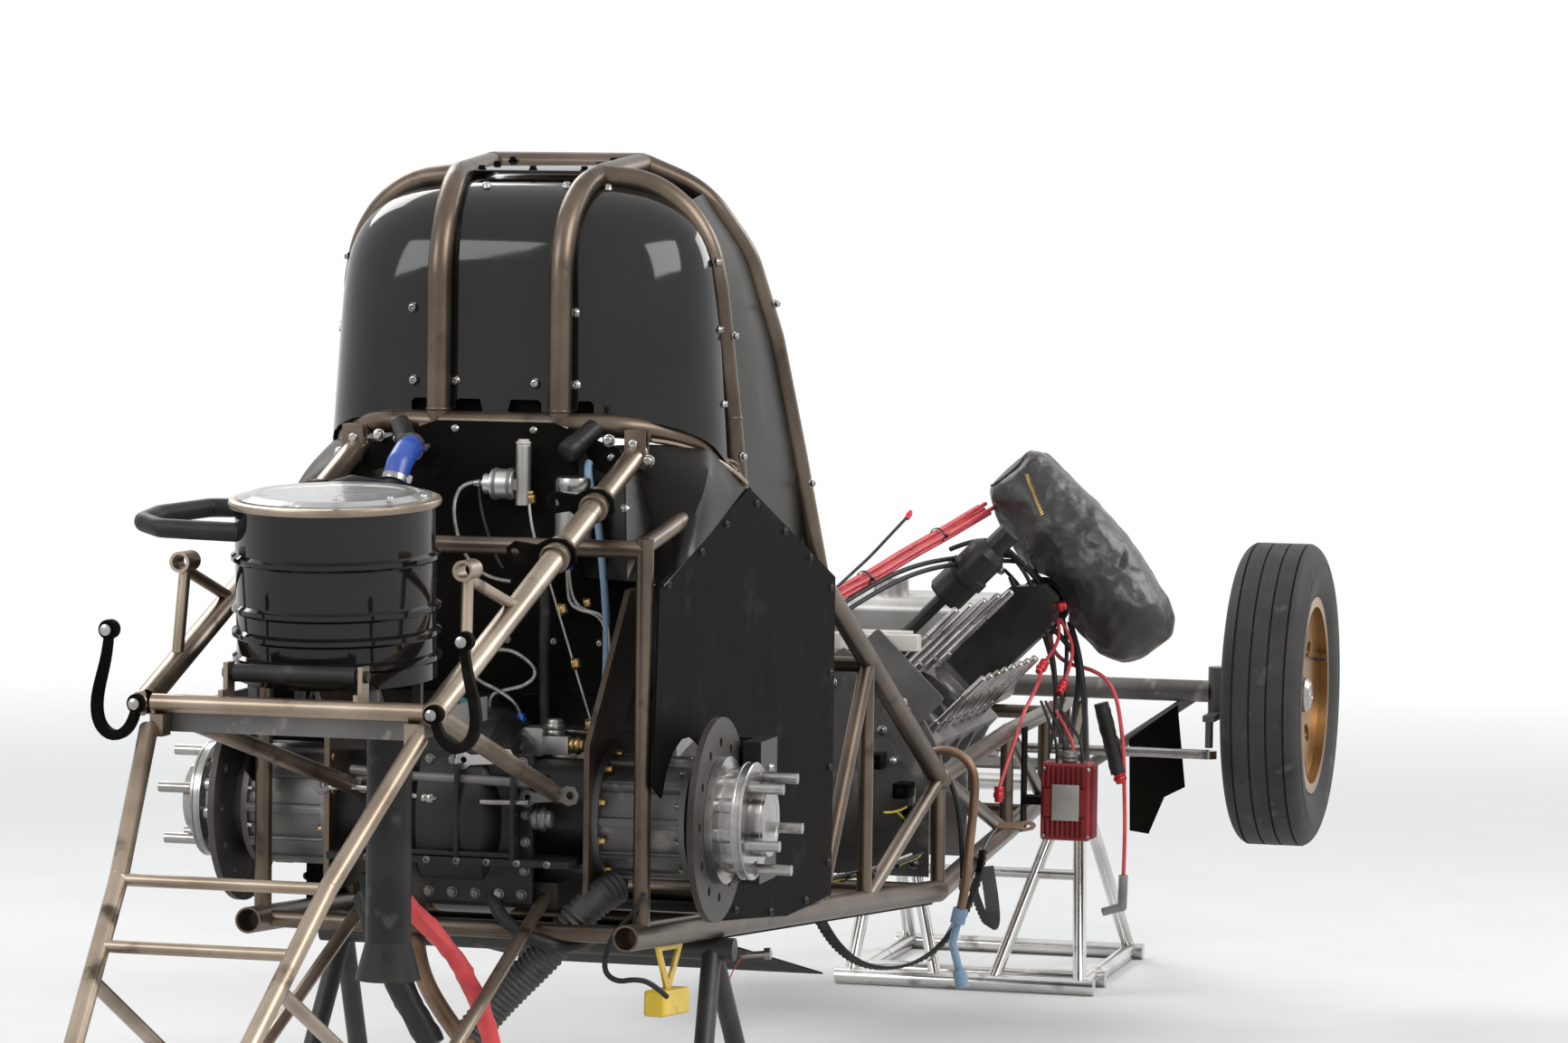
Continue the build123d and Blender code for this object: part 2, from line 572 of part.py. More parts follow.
def make_can():
    ribs = [(0, CAN_R - 6)]
    # height of each rib as a share of the can
    for share in (0.12, 0.26, 0.40, 0.68):
        z = CAN_HEIGHT * share
        ribs += [(z - 7, CAN_R - 6), (z - 3, CAN_R), (z + 3, CAN_R), (z + 7, CAN_R - 6)]
    ribs += [(CAN_HEIGHT - 10, CAN_R - 6), (CAN_HEIGHT - 8, CAN_R), (CAN_HEIGHT, CAN_R)]
    wall = 4
    inner_r = CAN_R - wall - 6
    outline = [(0, 0)] + [(r, z) for z, r in ribs] + [(inner_r, CAN_HEIGHT), (inner_r, wall), (0, wall)]
    can = turned_z(outline)
    lid_r = inner_r - SEAT_GAP
    lid = turned_z([(0, CAN_HEIGHT - 16), (lid_r, CAN_HEIGHT - 16), (lid_r, CAN_HEIGHT + 3),
                    (lid_r - 16, CAN_HEIGHT + 8), (0, CAN_HEIGHT + 8)])
    place = Pos(CAN_X, 0, CAN_BOTTOM_Z) * Rot(0, -CAN_LEAN, 0)
    save("catch_can", place * can)
    save("can_lid", place * lid)
    tray_z = CAN_BOTTOM_Z - 12
    rear = STRUT_END[0] + BRACE_D / 2 + SEAT_GAP
    front = CAN_X + 120
    tray = box(rear, front, -172, 172, tray_z - 52, tray_z - 48)
    walls = [box(rear, rear + 4, -172, 172, tray_z - 52, tray_z - 10)]
    walls += both(box(rear, front, -172, -168, tray_z - 52, tray_z - 20))
    legs = []
    for dx in (-100, 80):
        top = CAN_BOTTOM_Z + dx * math.tan(math.radians(CAN_LEAN)) - SEAT_GAP
        legs += [box(CAN_X + dx, CAN_X + dx + 12, dy, dy + 12, tray_z - 50, top) for dy in (-90, 78)]
    save("can_tray", fuse([tray] + walls + legs))


# Black tubes behind the driver: the can's two pipes, the drain tube below its tray and the roller
PIPE_D = 26.0
COUPLING_D = 38.0
COUPLING_TURN = ((27.0, 113.0, 528.0), (2.0, 116.0, 520.0), (-22.0, 119.0, 503.0), (-36.0, 122.0, 476.0))
DRAIN_X = -530.0
DRAIN_Y = -42.0
DRAIN_D = 62.0


def make_rear_pipes(can):
    filling = Pos(CAN_X, 0, CAN_BOTTOM_Z + CAN_HEIGHT / 2) * Rot(0, -CAN_LEAN, 0)
    can = can + filling * Cylinder(CAN_R - 4, CAN_HEIGHT + 20)
    left = bent_tube([(-700, 64, 440), (-700, 225, 444), (-672, 262, 450), (-610, 262, 456), (-520, 222, 462),
                      (-495, 120, 462), (-560, 70, 455)], 20, PIPE_D)
    start = COUPLING_TURN[-1]
    right = bent_tube([start, (-60, 121, 466), (-250, 112, 484), (-420, 96, 480), (-560, 60, 455)],
                      30, PIPE_D)
    tray_bottom = CAN_BOTTOM_Z - 12 - 52 - SEAT_GAP
    r = DRAIN_D / 2
    drain = turned_z([(0, tray_bottom), (r, tray_bottom), (r, -120), (r + 14, -172), (r + 11, -172),
                      (r - 3, -118), (0, -118)])
    drain = Pos(DRAIN_X, DRAIN_Y, 0) * drain
    drum, axle = ([(ROLLER_X, s * half, ROLLER_Z) for s in (-1, 1)] for half in (ROLLER_HALF - 16, ROLLER_HALF))
    roller = fuse([rod(*drum, ROLLER_D), rod(*axle, ROLLER_D - 8)])
    save("rear_pipes", left - can, right - can, drain, roller)
    sleeve = bent_tube(list(COUPLING_TURN), 12, COUPLING_D)
    save("coupling_hose", sleeve - bent_tube(list(COUPLING_TURN), 12, PIPE_D + 2 * SEAT_GAP) - right)


def make_panel_fittings():
    """Canister and regulator on the back panel, and the union inside the right upper rail."""
    front = BACK_X - SEAT_GAP
    canister = fillet((Pos(front - 27, -131, 433) * Cylinder(27, 106)).edges(), 6)
    x = front - 22
    regulator = fuse([rod((x, -6, 474), (x, -40, 474), 44), rod((x, 6, 474), (x, -6, 474), 30),
                      rod((x, -52, 444), (x, -52, 530), 22), box(x - 8, x + 8, -56, -34, 466, 482),
                      box(front - 12, front, -36, -12, 462, 486)])
    saddle = box(front - 8, front, -150, -112, 420, 444)
    x, y, z = HOSE_ROUTE[0]
    rail_side = -bay_half(x + 8) + UPPER_RAIL_D / 2 + SEAT_GAP
    union = fuse([rod((x, y, z - 34), (x, y, z), HOSE_D + 6),
                  box(x - 8, x + 8, rail_side, rail_side + 5, z - 16, NODE_Z + 6),
                  box(x - 8, x + 8, rail_side, y, z - 16, z - 8)])
    save("panel_fittings", fuse([canister, saddle]), regulator, union)


def make_wheelie(housing):
    bar_z = STRUT_END[2] - BRACE_D / 2 - SEAT_GAP
    top = (-838, -186, 190)
    bend = (-1057, -140, 20)
    end = (WHEELIE_X, -WHEELIE_HALF, WHEELIE_Z)
    low = (-1190, -122.9, -88.8)
    foot = (-700, -134, -330)
    tip = (-80, -130, -108)
    head_length = 30
    head = Pos(*end) * Rot(90, 0, 0) * Cylinder(16, head_length)
    lug = box(-840, -811, top[1] + 2, top[1] + 20, 180, bar_z)
    parts = chain([top, bend, end], 25) + [head, lug, rod(low, foot, 19), rod(foot, tip, 19), ball(foot, 20)]
    rungs = [rod((x, -half, z), (x, half, z), 16) for x, z, half in ((-1057, 20, 140), (-1148, -52, 129))]
    frame = fuse_mirrored(parts, rungs)
    bore = rod((WHEELIE_X, -200, WHEELIE_Z), (WHEELIE_X, 200, WHEELIE_Z), 16 + 2 * RUNNING_GAP)
    save("wheelie_bar", frame - bore - housing)
    inner = WHEELIE_HALF + head_length / 2 + 2
    wheel = turned_y([(0, inner), (WHEELIE_R - 12, inner + 2), (WHEELIE_R, inner + 6),
                      (WHEELIE_R, inner + 26), (WHEELIE_R - 12, inner + 30), (0, inner + 32)])
    shaft = rod((0, -inner - 10, 0), (0, inner + 10, 0), 16)
    wheels = fuse([shaft, wheel, mirror(wheel, about=Plane.XZ)])
    save("wheelie_wheels", Pos(WHEELIE_X, 0, WHEELIE_Z) * wheels)


# Engine
def bank_plane(sign):
    """Plane on the cylinder deck of one bank, its x along the crank and its z out of the deck."""
    out = (0, sign * math.sqrt(0.5), math.sqrt(0.5))
    origin = (BLOCK_REAR_X + BLOCK_LENGTH / 2, out[1] * DECK_HEIGHT, CRANK_Z + out[2] * DECK_HEIGHT)
    return Plane(origin=origin, x_dir=(1, 0, 0), z_dir=out)


def make_engine(frame):
    s = math.sqrt(0.5)
    centre, half = DECK_HEIGHT * s, DECK_HALF * s
    right = [(165, -60), (172, 40), (centre + half, centre - half), (centre - half, centre + half), (58, 180)]
    outline = right + [(-y, z) for y, z in right[::-1]]
    block = Pos(0, 0, CRANK_Z) * plate_yz(outline, BLOCK_REAR_X, BLOCK_REAR_X + BLOCK_LENGTH)
    web = [(160, -58), (186, -52), (194, 34), (centre + half - 6, centre - half - 12), (170, 60)]
    sides = []
    for i in range(5):
        x = BLOCK_REAR_X + BLOCK_LENGTH / 2 + (i - 2) * BORE_SPACING
        sides.append(Pos(0, 0, CRANK_Z) * plate_yz(web, x - 8, x + 8))
    for i in range(4):
        x = BLOCK_REAR_X + BLOCK_LENGTH / 2 + (i - 1.5) * BORE_SPACING
        sides.append(rod((x, 150, CRANK_Z - 5), (x, 176, CRANK_Z - 5), 52))
    rail = box(BLOCK_REAR_X + 10, BLOCK_REAR_X + BLOCK_LENGTH - 10, 160, 190, CRANK_Z - 60, CRANK_Z - 46)
    block = fuse([block] + both(fuse(sides + [rail])))
    studs = []
    cylinders = []
    for sign in (-1, 1):
        deck = bank_plane(sign)
        for i in range(4):
            x = (i - 1.5) * BORE_SPACING
            block -= deck * Pos(x, 0, (1 - BORE_DEPTH) / 2) * Cylinder(BORE_D / 2, BORE_DEPTH + 1)
            seat = SLEEVE_LENGTH + SEAT_GAP
            seat_r = BORE_D / 2 + SLEEVE_WALL + SEAT_GAP
            block -= deck * Pos(x, 0, (1 - seat) / 2) * Cylinder(seat_r, seat + 1)
            ring = Cylinder(BORE_D / 2 + SLEEVE_WALL, SLEEVE_LENGTH + SLEEVE_LIP) - Cylinder(BORE_D / 2, 100)
            cylinders.append(deck * Pos(x, 0, (SLEEVE_LIP - SLEEVE_LENGTH) / 2) * ring)
            depth = PISTON_DEPTHS[i if sign < 0 else 3 - i]
            cylinders.append(deck * Pos(x, 0, -depth) * piston())
        for count, spacing, row, length in ((5, BORE_SPACING, -INNER_STUD_ROW, INNER_STUD_LENGTH),
                                            (8, OUTER_STUD_SPACING, OUTER_STUD_ROW, OUTER_STUD_LENGTH)):
            for i in range(count):
                x = (i - (count - 1) / 2) * spacing
                studs.append(deck * Pos(x, sign * row, 0) * head_stud(length))
        for i in range(8):
            x = (i - 3.5) * BORE_SPACING / 2
            lifter = deck * Pos(x, -sign * (DECK_HALF + 8), -22) * Rot(90, 0, 0) * Cylinder(11, 40)
            block -= lifter
    save("engine_block", block)
    save("cylinder_sleeves", *cylinders)
    save("head_studs", *studs)
    top = -60 - SEAT_GAP
    ends = (BLOCK_REAR_X + 20, BLOCK_REAR_X + 560)
    pan = plate_yz([(-160, top), (160, top), (140, -115), (-140, -115)], *ends)
    save("oil_pan", Pos(0, 0, CRANK_Z) * pan)
    plate_front = BLOCK_REAR_X - SEAT_GAP
    plate_rear = plate_front - MOTOR_PLATE_T
    bell_end = plate_rear - SEAT_GAP
    shoulder = BELLHOUSING_X + 0.55 * (bell_end - BELLHOUSING_X)
    bell = turned_x([(BELLHOUSING_X, 0), (BELLHOUSING_X, 120), (BELLHOUSING_X + 40, 175), (shoulder, 226),
                     (bell_end - 14, 226), (bell_end - 14, 238), (bell_end, 238), (bell_end, 0)], 0, CRANK_Z)
    save("bellhousing", bell & box(BELLHOUSING_X - 10, bell_end, -236, 236, CRANK_Z - 82, 2000))
    make_motor_plate(frame, plate_rear, plate_front)
    make_front_cover()
    make_magnetos()


# how far each piston's crown lies below the deck, from the rear
PISTON_DEPTHS = (12.0, 74.0, 74.0, 12.0)


def piston():
    r = BORE_D / 2 - 0.4
    return turned_z([(0, -3), (r - 14, -3), (r - 8, 0), (r, 0), (r, -8), (r - 2, -8), (r - 2, -11),
                     (r, -11), (r, -56), (0, -56)])


def head_stud(length):
    """Stud with a thicker foot and a thicker threaded end."""
    r = HEAD_STUD_D / 2
    return turned_z([(0, 0), (r + 1.5, 0), (r + 1.5, 26), (r, 30), (r, length * 0.62),
                     (r + 1, length * 0.64), (r + 1, length - 3), (r - 1, length), (0, length)])


def make_motor_plate(frame, rear, front):
    """Round-topped plate with ears to the rails, and a plate standing behind each bank."""
    half = bay_half(rear) - RAIL_D / 2 - SEAT_GAP
    disc = turned_x([(rear, 0), (rear, MOTOR_PLATE_R), (front, MOTOR_PLATE_R), (front, 0)], 0, CRANK_Z)
    shapes = [disc & box(rear, front, -half, half, CRANK_Z - 96, 400),
              box(rear, front, -half, half, CRANK_Z - 96, CRANK_Z + 60)]
    low, high = MOTOR_PLATE_R - 20 - DECK_HEIGHT, 84
    for sign in (-1, 1):
        outline = RectangleRounded(178, high - low, 8)
        # the plate stands across the bank, a little towards the valley
        deck = bank_plane(sign).origin
        out = Vector(0, sign * math.sqrt(0.5), math.sqrt(0.5))
        across = Vector(0, -sign * math.sqrt(0.5), math.sqrt(0.5))
        origin = Vector(rear, deck.Y, deck.Z) + out * ((high + low) / 2) + across * 40
        plane = Plane(origin=origin, x_dir=across, z_dir=(-1, 0, 0))
        shapes.append(extrude(plane * outline, amount=BANK_PLATE_T))
    save("motor_plate", fuse(shapes) - frame)


def make_front_cover():
    arm = MAGNETO_Z - CRANK_Z
    half = [(150, -55), (165, 120), (MAGNETO_Y + 30, arm - 44), (MAGNETO_Y + 44, arm - 20),
            (MAGNETO_Y + 44, arm + 20), (MAGNETO_Y + 20, arm + 44), (MAGNETO_Y - 40, arm + 40), (110, 225)]
    cover = plate_yz(half + [(-y, z) for y, z in half[::-1]], 0, 60)
    cover_x = BLOCK_REAR_X + BLOCK_LENGTH + SEAT_GAP
    pulley = turned_x([(0, 0), (0, 60), (8, 60), (8, 75), (14, 75), (14, 66), (52, 66), (52, 75), (58, 75),
                       (58, 30), (80, 30), (80, 0)], 0, CRANK_Z)
    idler = turned_x([(0, 0), (0, 46), (6, 46), (6, 40), (44, 40), (44, 46), (50, 46), (50, 0)],
                     0, CRANK_Z + 190)
    save("front_cover", fuse([Pos(cover_x, 0, CRANK_Z) * cover, Pos(cover_x + 55, 0, 0) * pulley,
                              Pos(cover_x + 55, 0, 0) * idler]))


def make_magnetos():
    """Two magnetos on the front cover's arms, and the clamped canister that stands in the valley."""
    base = BLOCK_REAR_X + BLOCK_LENGTH + SEAT_GAP + 60 + SEAT_GAP
    body = [(0, 0), (0, 34), (12, 34), (12, 40), (58, 40), (60, 52), (70, 52), (72, 46), (118, 46),
            (140, 34), (140, 0)]
    shapes = [turned_x([(base + x, r) for x, r in body], y, MAGNETO_Z) for y in (-MAGNETO_Y, MAGNETO_Y)]
    x, y, z = LEAD_ROUTE[0]
    shapes[0] = shapes[0].fuse(rod((x, y, z), (x, y, z + 28), 2 * LEAD_D))
    s = math.sqrt(0.5)
    foot = (BLOCK_REAR_X + 480, 14, CRANK_Z + 180 + SEAT_GAP)
    profile = [(0, -30), (13, -30), (13, 214), (CANISTER_R - 6, 218), (CANISTER_R, 226), (CANISTER_R, 272),
               (CANISTER_R + 4, 274), (CANISTER_R + 4, 292), (CANISTER_R, 294), (CANISTER_R, 340),
               (CANISTER_R - 12, 356), (22, 356), (22, 400), (0, 400)]
    can = Plane(origin=foot, x_dir=(1, 0, 0), z_dir=(0, -s, s)) * turned_z(profile)
    flange = box(foot[0] - 30, foot[0] + 30, foot[1] - 30, foot[1] + 30, foot[2], foot[2] + 8)
    shapes.append(fuse([can, flange]) & box(0, 5000, -500, 500, foot[2], 1000))
    save("magnetos", *shapes)


def make_driveline():
    start = (BELLHOUSING_X - 410, 0, CRANK_Z + 54)
    end_x = BELLHOUSING_X - 90
    tube = rod((326, 0, -22), (start[0] + 30, 0, start[2] - 4), 76)
    reverser = rod(start, (end_x, 0, CRANK_Z + 10), 200)
    end = rod((end_x - 10, 0, CRANK_Z), (BELLHOUSING_X - SEAT_GAP, 0, CRANK_Z), 110)
    save("driveline", fuse([tube, reverser, end]))


def make_front_axle(frame):
    y_end = KINGPIN_Y - 18
    z = -FRONT_WHEEL_DROP
    tube = rod((WHEELBASE, -y_end, z), (WHEELBASE, y_end, z), AXLE_D)
    boss = [Pos(WHEELBASE, s * KINGPIN_Y, z) * Cylinder(22, 76) for s in (-1, 1)]
    bore = [Pos(WHEELBASE, s * KINGPIN_Y, z) * Cylinder(KINGPIN_D / 2 + RUNNING_GAP, 90) for s in (-1, 1)]
    struts = []
    for s in (-1, 1):
        rail = axle_rail_y(WHEELBASE)
        foot = (WHEELBASE, s * (rail + 17), RAIL_FRONT_Z + 13)
        struts.append(rod(foot, (WHEELBASE, s * 500, z - 12), AXLE_BRACE_D))
    save("front_axle", fuse([tube] + boss + struts).cut(*bore) - frame)


def make_knuckle(sign):
    z = -FRONT_WHEEL_DROP
    ear_z = 38 + SEAT_GAP
    x = WHEELBASE
    web_in, web_out = KINGPIN_Y + 28, KINGPIN_Y + 38
    parts = [box(x - 24, x + 24, web_in, web_out, z - ear_z - 12, z + ear_z + 12)]
    for s in (-1, 1):
        ear = Pos(x, KINGPIN_Y, z + s * (ear_z + 6)) * Cylinder(22, 12)
        parts += [ear, box(x - 22, x + 22, KINGPIN_Y, web_out, min(z + s * ear_z, z + s * (ear_z + 12)),
                           max(z + s * ear_z, z + s * (ear_z + 12)))]
    parts.append(Pos(x, KINGPIN_Y, z) * Cylinder(KINGPIN_D / 2, 2 * ear_z + 4))
    parts.append(rod((x, web_out - 2, z), (x, TYRE_Y + 45, z), SPINDLE_D))
    arm_z = z - ear_z - 12
    parts.append(box(x - STEER_ARM - 12, x + 10, KINGPIN_Y - 12, KINGPIN_Y + 12, arm_z, arm_z + 12))
    parts.append(rod((x - STEER_ARM, KINGPIN_Y, arm_z + 6), (x - STEER_ARM, KINGPIN_Y, TIE_ROD_Z + 10), 16))
    shape = fuse(parts)
    return shape if sign > 0 else mirror(shape, about=Plane.XZ)


def make_wheel(sign):
    z = -FRONT_WHEEL_DROP
    half = TYRE_W / 2
    wall = [(RIM_R + SEAT_GAP, half - 22), (RIM_R + 22, half - 8), (RIM_R + 60, half),
            (TYRE_R - 22, half - 6), (TYRE_R - 4, half - 22), (TYRE_R, half - 40)]
    tyre_shape = turned_y([(r, -y) for r, y in wall] + wall[::-1])
    low, high = TYRE_R - 7, TYRE_R + 5
    for y in (-51, -17, 17, 51):
        tyre_shape -= turned_y([(low, y - 2), (high, y - 2), (high, y + 2), (low, y + 2)])
    hub_r = SPINDLE_D / 2 + RUNNING_GAP
    barrel = turned_y([(178, -half + 16), (RIM_R, -half + 16), (RIM_R, half - 16), (178, half - 16)])
    lips = [turned_y([(178, s * (half - 16)), (RIM_R + 8, s * (half - 16)), (RIM_R + 8, s * (half - 12)),
                      (178, s * (half - 12))]) for s in (-1, 1)]
    disc = turned_y([(30, 18), (80, 26), (180, 44), (180, 50), (80, 34), (30, 28)])
    hub = turned_y([(hub_r, -64), (36, -64), (36, 34), (hub_r, 34)])
    cap = turned_y([(0, 47), (hub_r, 47), (hub_r, 30), (34, 30), (34, 52), (26, 60), (0, 60)])
    hole = rod((120, 0, 0), (120, 60, 0), 34)
    disc = disc.cut(*[Rot(0, 45 * i, 0) * hole for i in range(8)])
    wheel = fuse([barrel] + lips + [disc, hub, cap])
    place = Pos(WHEELBASE, TYRE_Y, z)
    shapes = [place * tyre_shape, place * wheel]
    return shapes if sign > 0 else [mirror(s, about=Plane.XZ) for s in shapes]


def make_steering(frame):
    x = WHEELBASE - STEER_ARM
    eye = KINGPIN_Y
    rod_end = [Pos(x, s * eye, TIE_ROD_Z - 4) * Cylinder(16, 16) for s in (-1, 1)]
    bar = fuse([rod((x, -eye, TIE_ROD_Z - 4), (x, eye, TIE_ROD_Z - 4), TIE_ROD_D)] + rod_end)
    save("tie_rod", bar)
    rack = rod((x, -120, TIE_ROD_Z - 4), (x, 120, TIE_ROD_Z - 4), 44)
    bore = rod((x, -130, TIE_ROD_Z - 4), (x, 130, TIE_ROD_Z - 4), TIE_ROD_D + 2 * RUNNING_GAP)
    cradle = box(x - 12, x + 12, -axle_rail_y(x) - 6, axle_rail_y(x) + 6, TIE_ROD_Z - 42, TIE_ROD_Z - 24)
    rail_top = RAIL_FRONT_Z + RAIL_D / 2 + SEAT_GAP
    rail_y = axle_rail_y(x)
    posts = both(box(x - 12, x + 12, -rail_y - 8, -rail_y + 8, rail_top, TIE_ROD_Z - 26))
    save("steering_rack", fuse([rack, cradle] + posts) - bore - frame)


def make_steering_wheel():
    side = [(0, -120, 60), (0, -135, -30), (0, -60, -62)]
    grip = bent_tube(side + [flip(p) for p in side[::-1]], 24, 24)
    spokes = [rod((0, 0, 0), (0, s * 128, 0), 14) for s in (-1, 1)]
    boss = rod((-14, 0, 0), (14, 0, 0), 60)
    pin = rod((0, 0, 0), (88, 0, 0), COLUMN_PIN_D)
    save("steering_wheel", column_place() * fuse([grip, boss, pin] + spokes))


# Front fuel tank, ignition box, cover bag and other pieces round the engine
def make_engine_bay():
    t = (CROSS_X - ENGINE_BAY_X) / (WHEELBASE - ENGINE_BAY_X)
    tank_z = UPPER_BAY_Z + t * (upper_axle_z() - UPPER_BAY_Z) + CROSS_D / 2 + SEAT_GAP
    tank = fillet(box(WHEELBASE - 375, WHEELBASE - 140, -165, 165, tank_z, 115).edges(), 28)
    neck = rod((WHEELBASE - 305, 60, 110), (WHEELBASE - 305, 60, 150), 70)
    save("fuel_tank", fuse([tank, neck]))
    rear = ENGINE_BAY_X + 50
    case = fillet(box(rear, rear + 56, -440, -345, -305, -158).edges(), 6)
    # fins above and below the bare label place, on the rear face, and along the outer side
    fins = []
    for z0, z1 in ((-300, -262), (-202, -163)):
        fins += [box(rear - 10, rear + 1, -431 + i * 9.6, -427 + i * 9.6, z0, z1) for i in range(9)]
    fins += [box(rear + 6 + i * 9, rear + 10 + i * 9, -446, -439, -300, -163) for i in range(5)]
    label = box(rear - 6, rear + 1, -432, -353, -258, -206)
    save("ignition_box", fuse([case, label] + fins))
    strap_y = axle_rail_y(rear + 10) + RAIL_D / 2 + SEAT_GAP
    strap = box(rear + 10, rear + 50, -strap_y - 4, -strap_y, RAIL_FRONT_Z - 8, -95)
    arm = box(rear + 10, rear + 50, -345 + SEAT_GAP, -strap_y, -240, -225)
    save("ignition_bracket", fuse([strap, arm]))
    # centre and half sizes of the bag's sections, from its upper end to its lower end
    rings = []
    bag_x = BLOCK_REAR_X + BLOCK_LENGTH + 140
    sections = ((10, -215, 400, 45, 40), (5, -275, 330, 100, 85), (0, -370, 250, 118, 100),
                (2, -465, 140, 105, 88), (5, -505, 70, 60, 50))
    for x, y, z, half_x, half_n in sections:
        plane = Plane(origin=(bag_x + x, y, z), x_dir=(1, 0, 0), z_dir=(0, -0.7, -0.71))
        rings.append(plane * Ellipse(half_x, half_n))
    bag = loft(rings, ruled=True)
    room = rod((bag_x - 110, -MAGNETO_Y, MAGNETO_Z), (bag_x + 190, -MAGNETO_Y, MAGNETO_Z), 105)
    save("cover_bag", bag - room - box(bag_x - 150, bag_x - 77.5, -340, -200, 0, 165))


# y and z of the flap's corners
FLAP_OUTLINE = ((-376, -372), (-415, -377), (-446, -301), (-488, -279), (-470, -112), (-372, -186))


# Sheets that hang behind the axle's lower braces, and the yellow sensor under the cockpit's right rail
def make_small_pieces():
    front = WHEELBASE - AXLE_BRACE_D / 2 - SEAT_GAP
    flap = plate_yz(FLAP_OUTLINE, front - 3, front)
    save("nose_flaps", *both(flap))
    slope = math.atan(-RAIL_SLOPE)
    foot = (0, -side_y(0), rail_z(0) - (RAIL_D / 2 + SEAT_GAP) / math.cos(slope))
    bracket = plate_xz([(-60, 0), (60, 0), (12, -62), (-12, -62)], -2, 2)
    bracket -= plate_xz([(-38, -6), (38, -6), (0, -50)], -3, 3)
    case = fillet(box(-62, 60, -16, 16, -100, -62).edges(), 5)
    plug = rod((60, 0, -81), (78, 0, -81), 18)
    turn = Rot(0, math.degrees(slope), math.degrees(math.atan(-SIDE_SLOPE)))
    save("sensor_box", Pos(*foot) * turn * fuse([bracket, case, plug]))


# Free hoses and leads: the points of each route, its diameter, and the rigid piece on its end
HOSE_D = 16.0
HOSE_ROUTE = (
    (NODE_X + 45, -295, -118),
    (NODE_X + 45, -295, -92),
    (NODE_X + 44, -310, -66),
    (NODE_X + 43, -336, -51),
    (NODE_X + 41, -366, -51),
    (NODE_X + 39, -392, -66),
    (NODE_X + 36, -406, -93),
    (NODE_X + 32, -406, -136),
    (NODE_X + 27, -402, -190),
    (NODE_X + 24, -398, -240),
    (NODE_X + 22, -395, -286),
    (NODE_X + 22, -387, -322),
)
LEAD_D = 8.0
LEAD_X = BLOCK_REAR_X + BLOCK_LENGTH + 120
LEAD_ROUTE = (
    (LEAD_X, -302, 62),
    (LEAD_X, -302, 40),
    (LEAD_X + 1, -318, 16),
    (LEAD_X + 1, -346, 2),
    (LEAD_X + 2, -380, -4),
    (LEAD_X + 3, -411, -20),
    (LEAD_X + 4, -431, -52),
    (LEAD_X + 6, -441, -102),
    (LEAD_X + 8, -448, -165),
    (LEAD_X + 10, -450, -240),
    (LEAD_X + 10, -453, -322),
    (LEAD_X + 10, -451, -404),
)
ARC_SHARE = 0.45


def cord_tube(name, points, d):
    """Tube along straight runs joined by arcs as large as the runs allow."""
    points = [Vector(*p) for p in points]
    runs = [b - a for a, b in zip(points, points[1:])]
    radii = []
    for a, b in zip(runs, runs[1:]):
        radii.append(ARC_SHARE * min(a.length, b.length) / math.tan(math.radians(a.get_angle(b)) / 2))
    path = FilletPolyline(*points, radius=radii)
    tube = sweep(Plane(path @ 0, z_dir=path % 0) * Circle(d / 2), path=path)
    print(name, "length", round(path.length), "radii", [round(r) for r in radii],
          "volume share", round(tube.volume / (math.pi * d * d / 4 * path.length), 4))
    save(name, tube)


def make_cords():
    cord_tube("hanging_hose", HOSE_ROUTE, HOSE_D)
    end = HOSE_ROUTE[-1]
    a, b = (Vector(*p) for p in HOSE_ROUTE[-2:])
    way = (b - a).normalized()
    # fitting in line with the hose, then a bent pipe down to the cap
    nut = tuple(b + way * 26)
    pipe = tuple(b + way * 62)
    cap = (pipe[0], pipe[1] - 16, pipe[2] - 62)
    save("hose_cap", fuse([rod(end, nut, HOSE_D + 10), rod(nut, pipe, 14), ball(pipe, 14), rod(pipe, cap, 14),
                           rod((cap[0], cap[1] + 4, cap[2] + 16), (cap[0], cap[1] - 3, cap[2] - 14), 24)]))
    cord_tube("plug_lead", LEAD_ROUTE, LEAD_D)
    end = LEAD_ROUTE[-1]
    a, b = (Vector(*p) for p in LEAD_ROUTE[-2:])
    corner = tuple(b + (b - a).normalized() * 62)
    tip = (end[0], end[1] + 40, end[2] - 74)
    save("plug_boot", fuse([rod(end, corner, 18), ball(corner, 18), rod(corner, tip, 16)]))


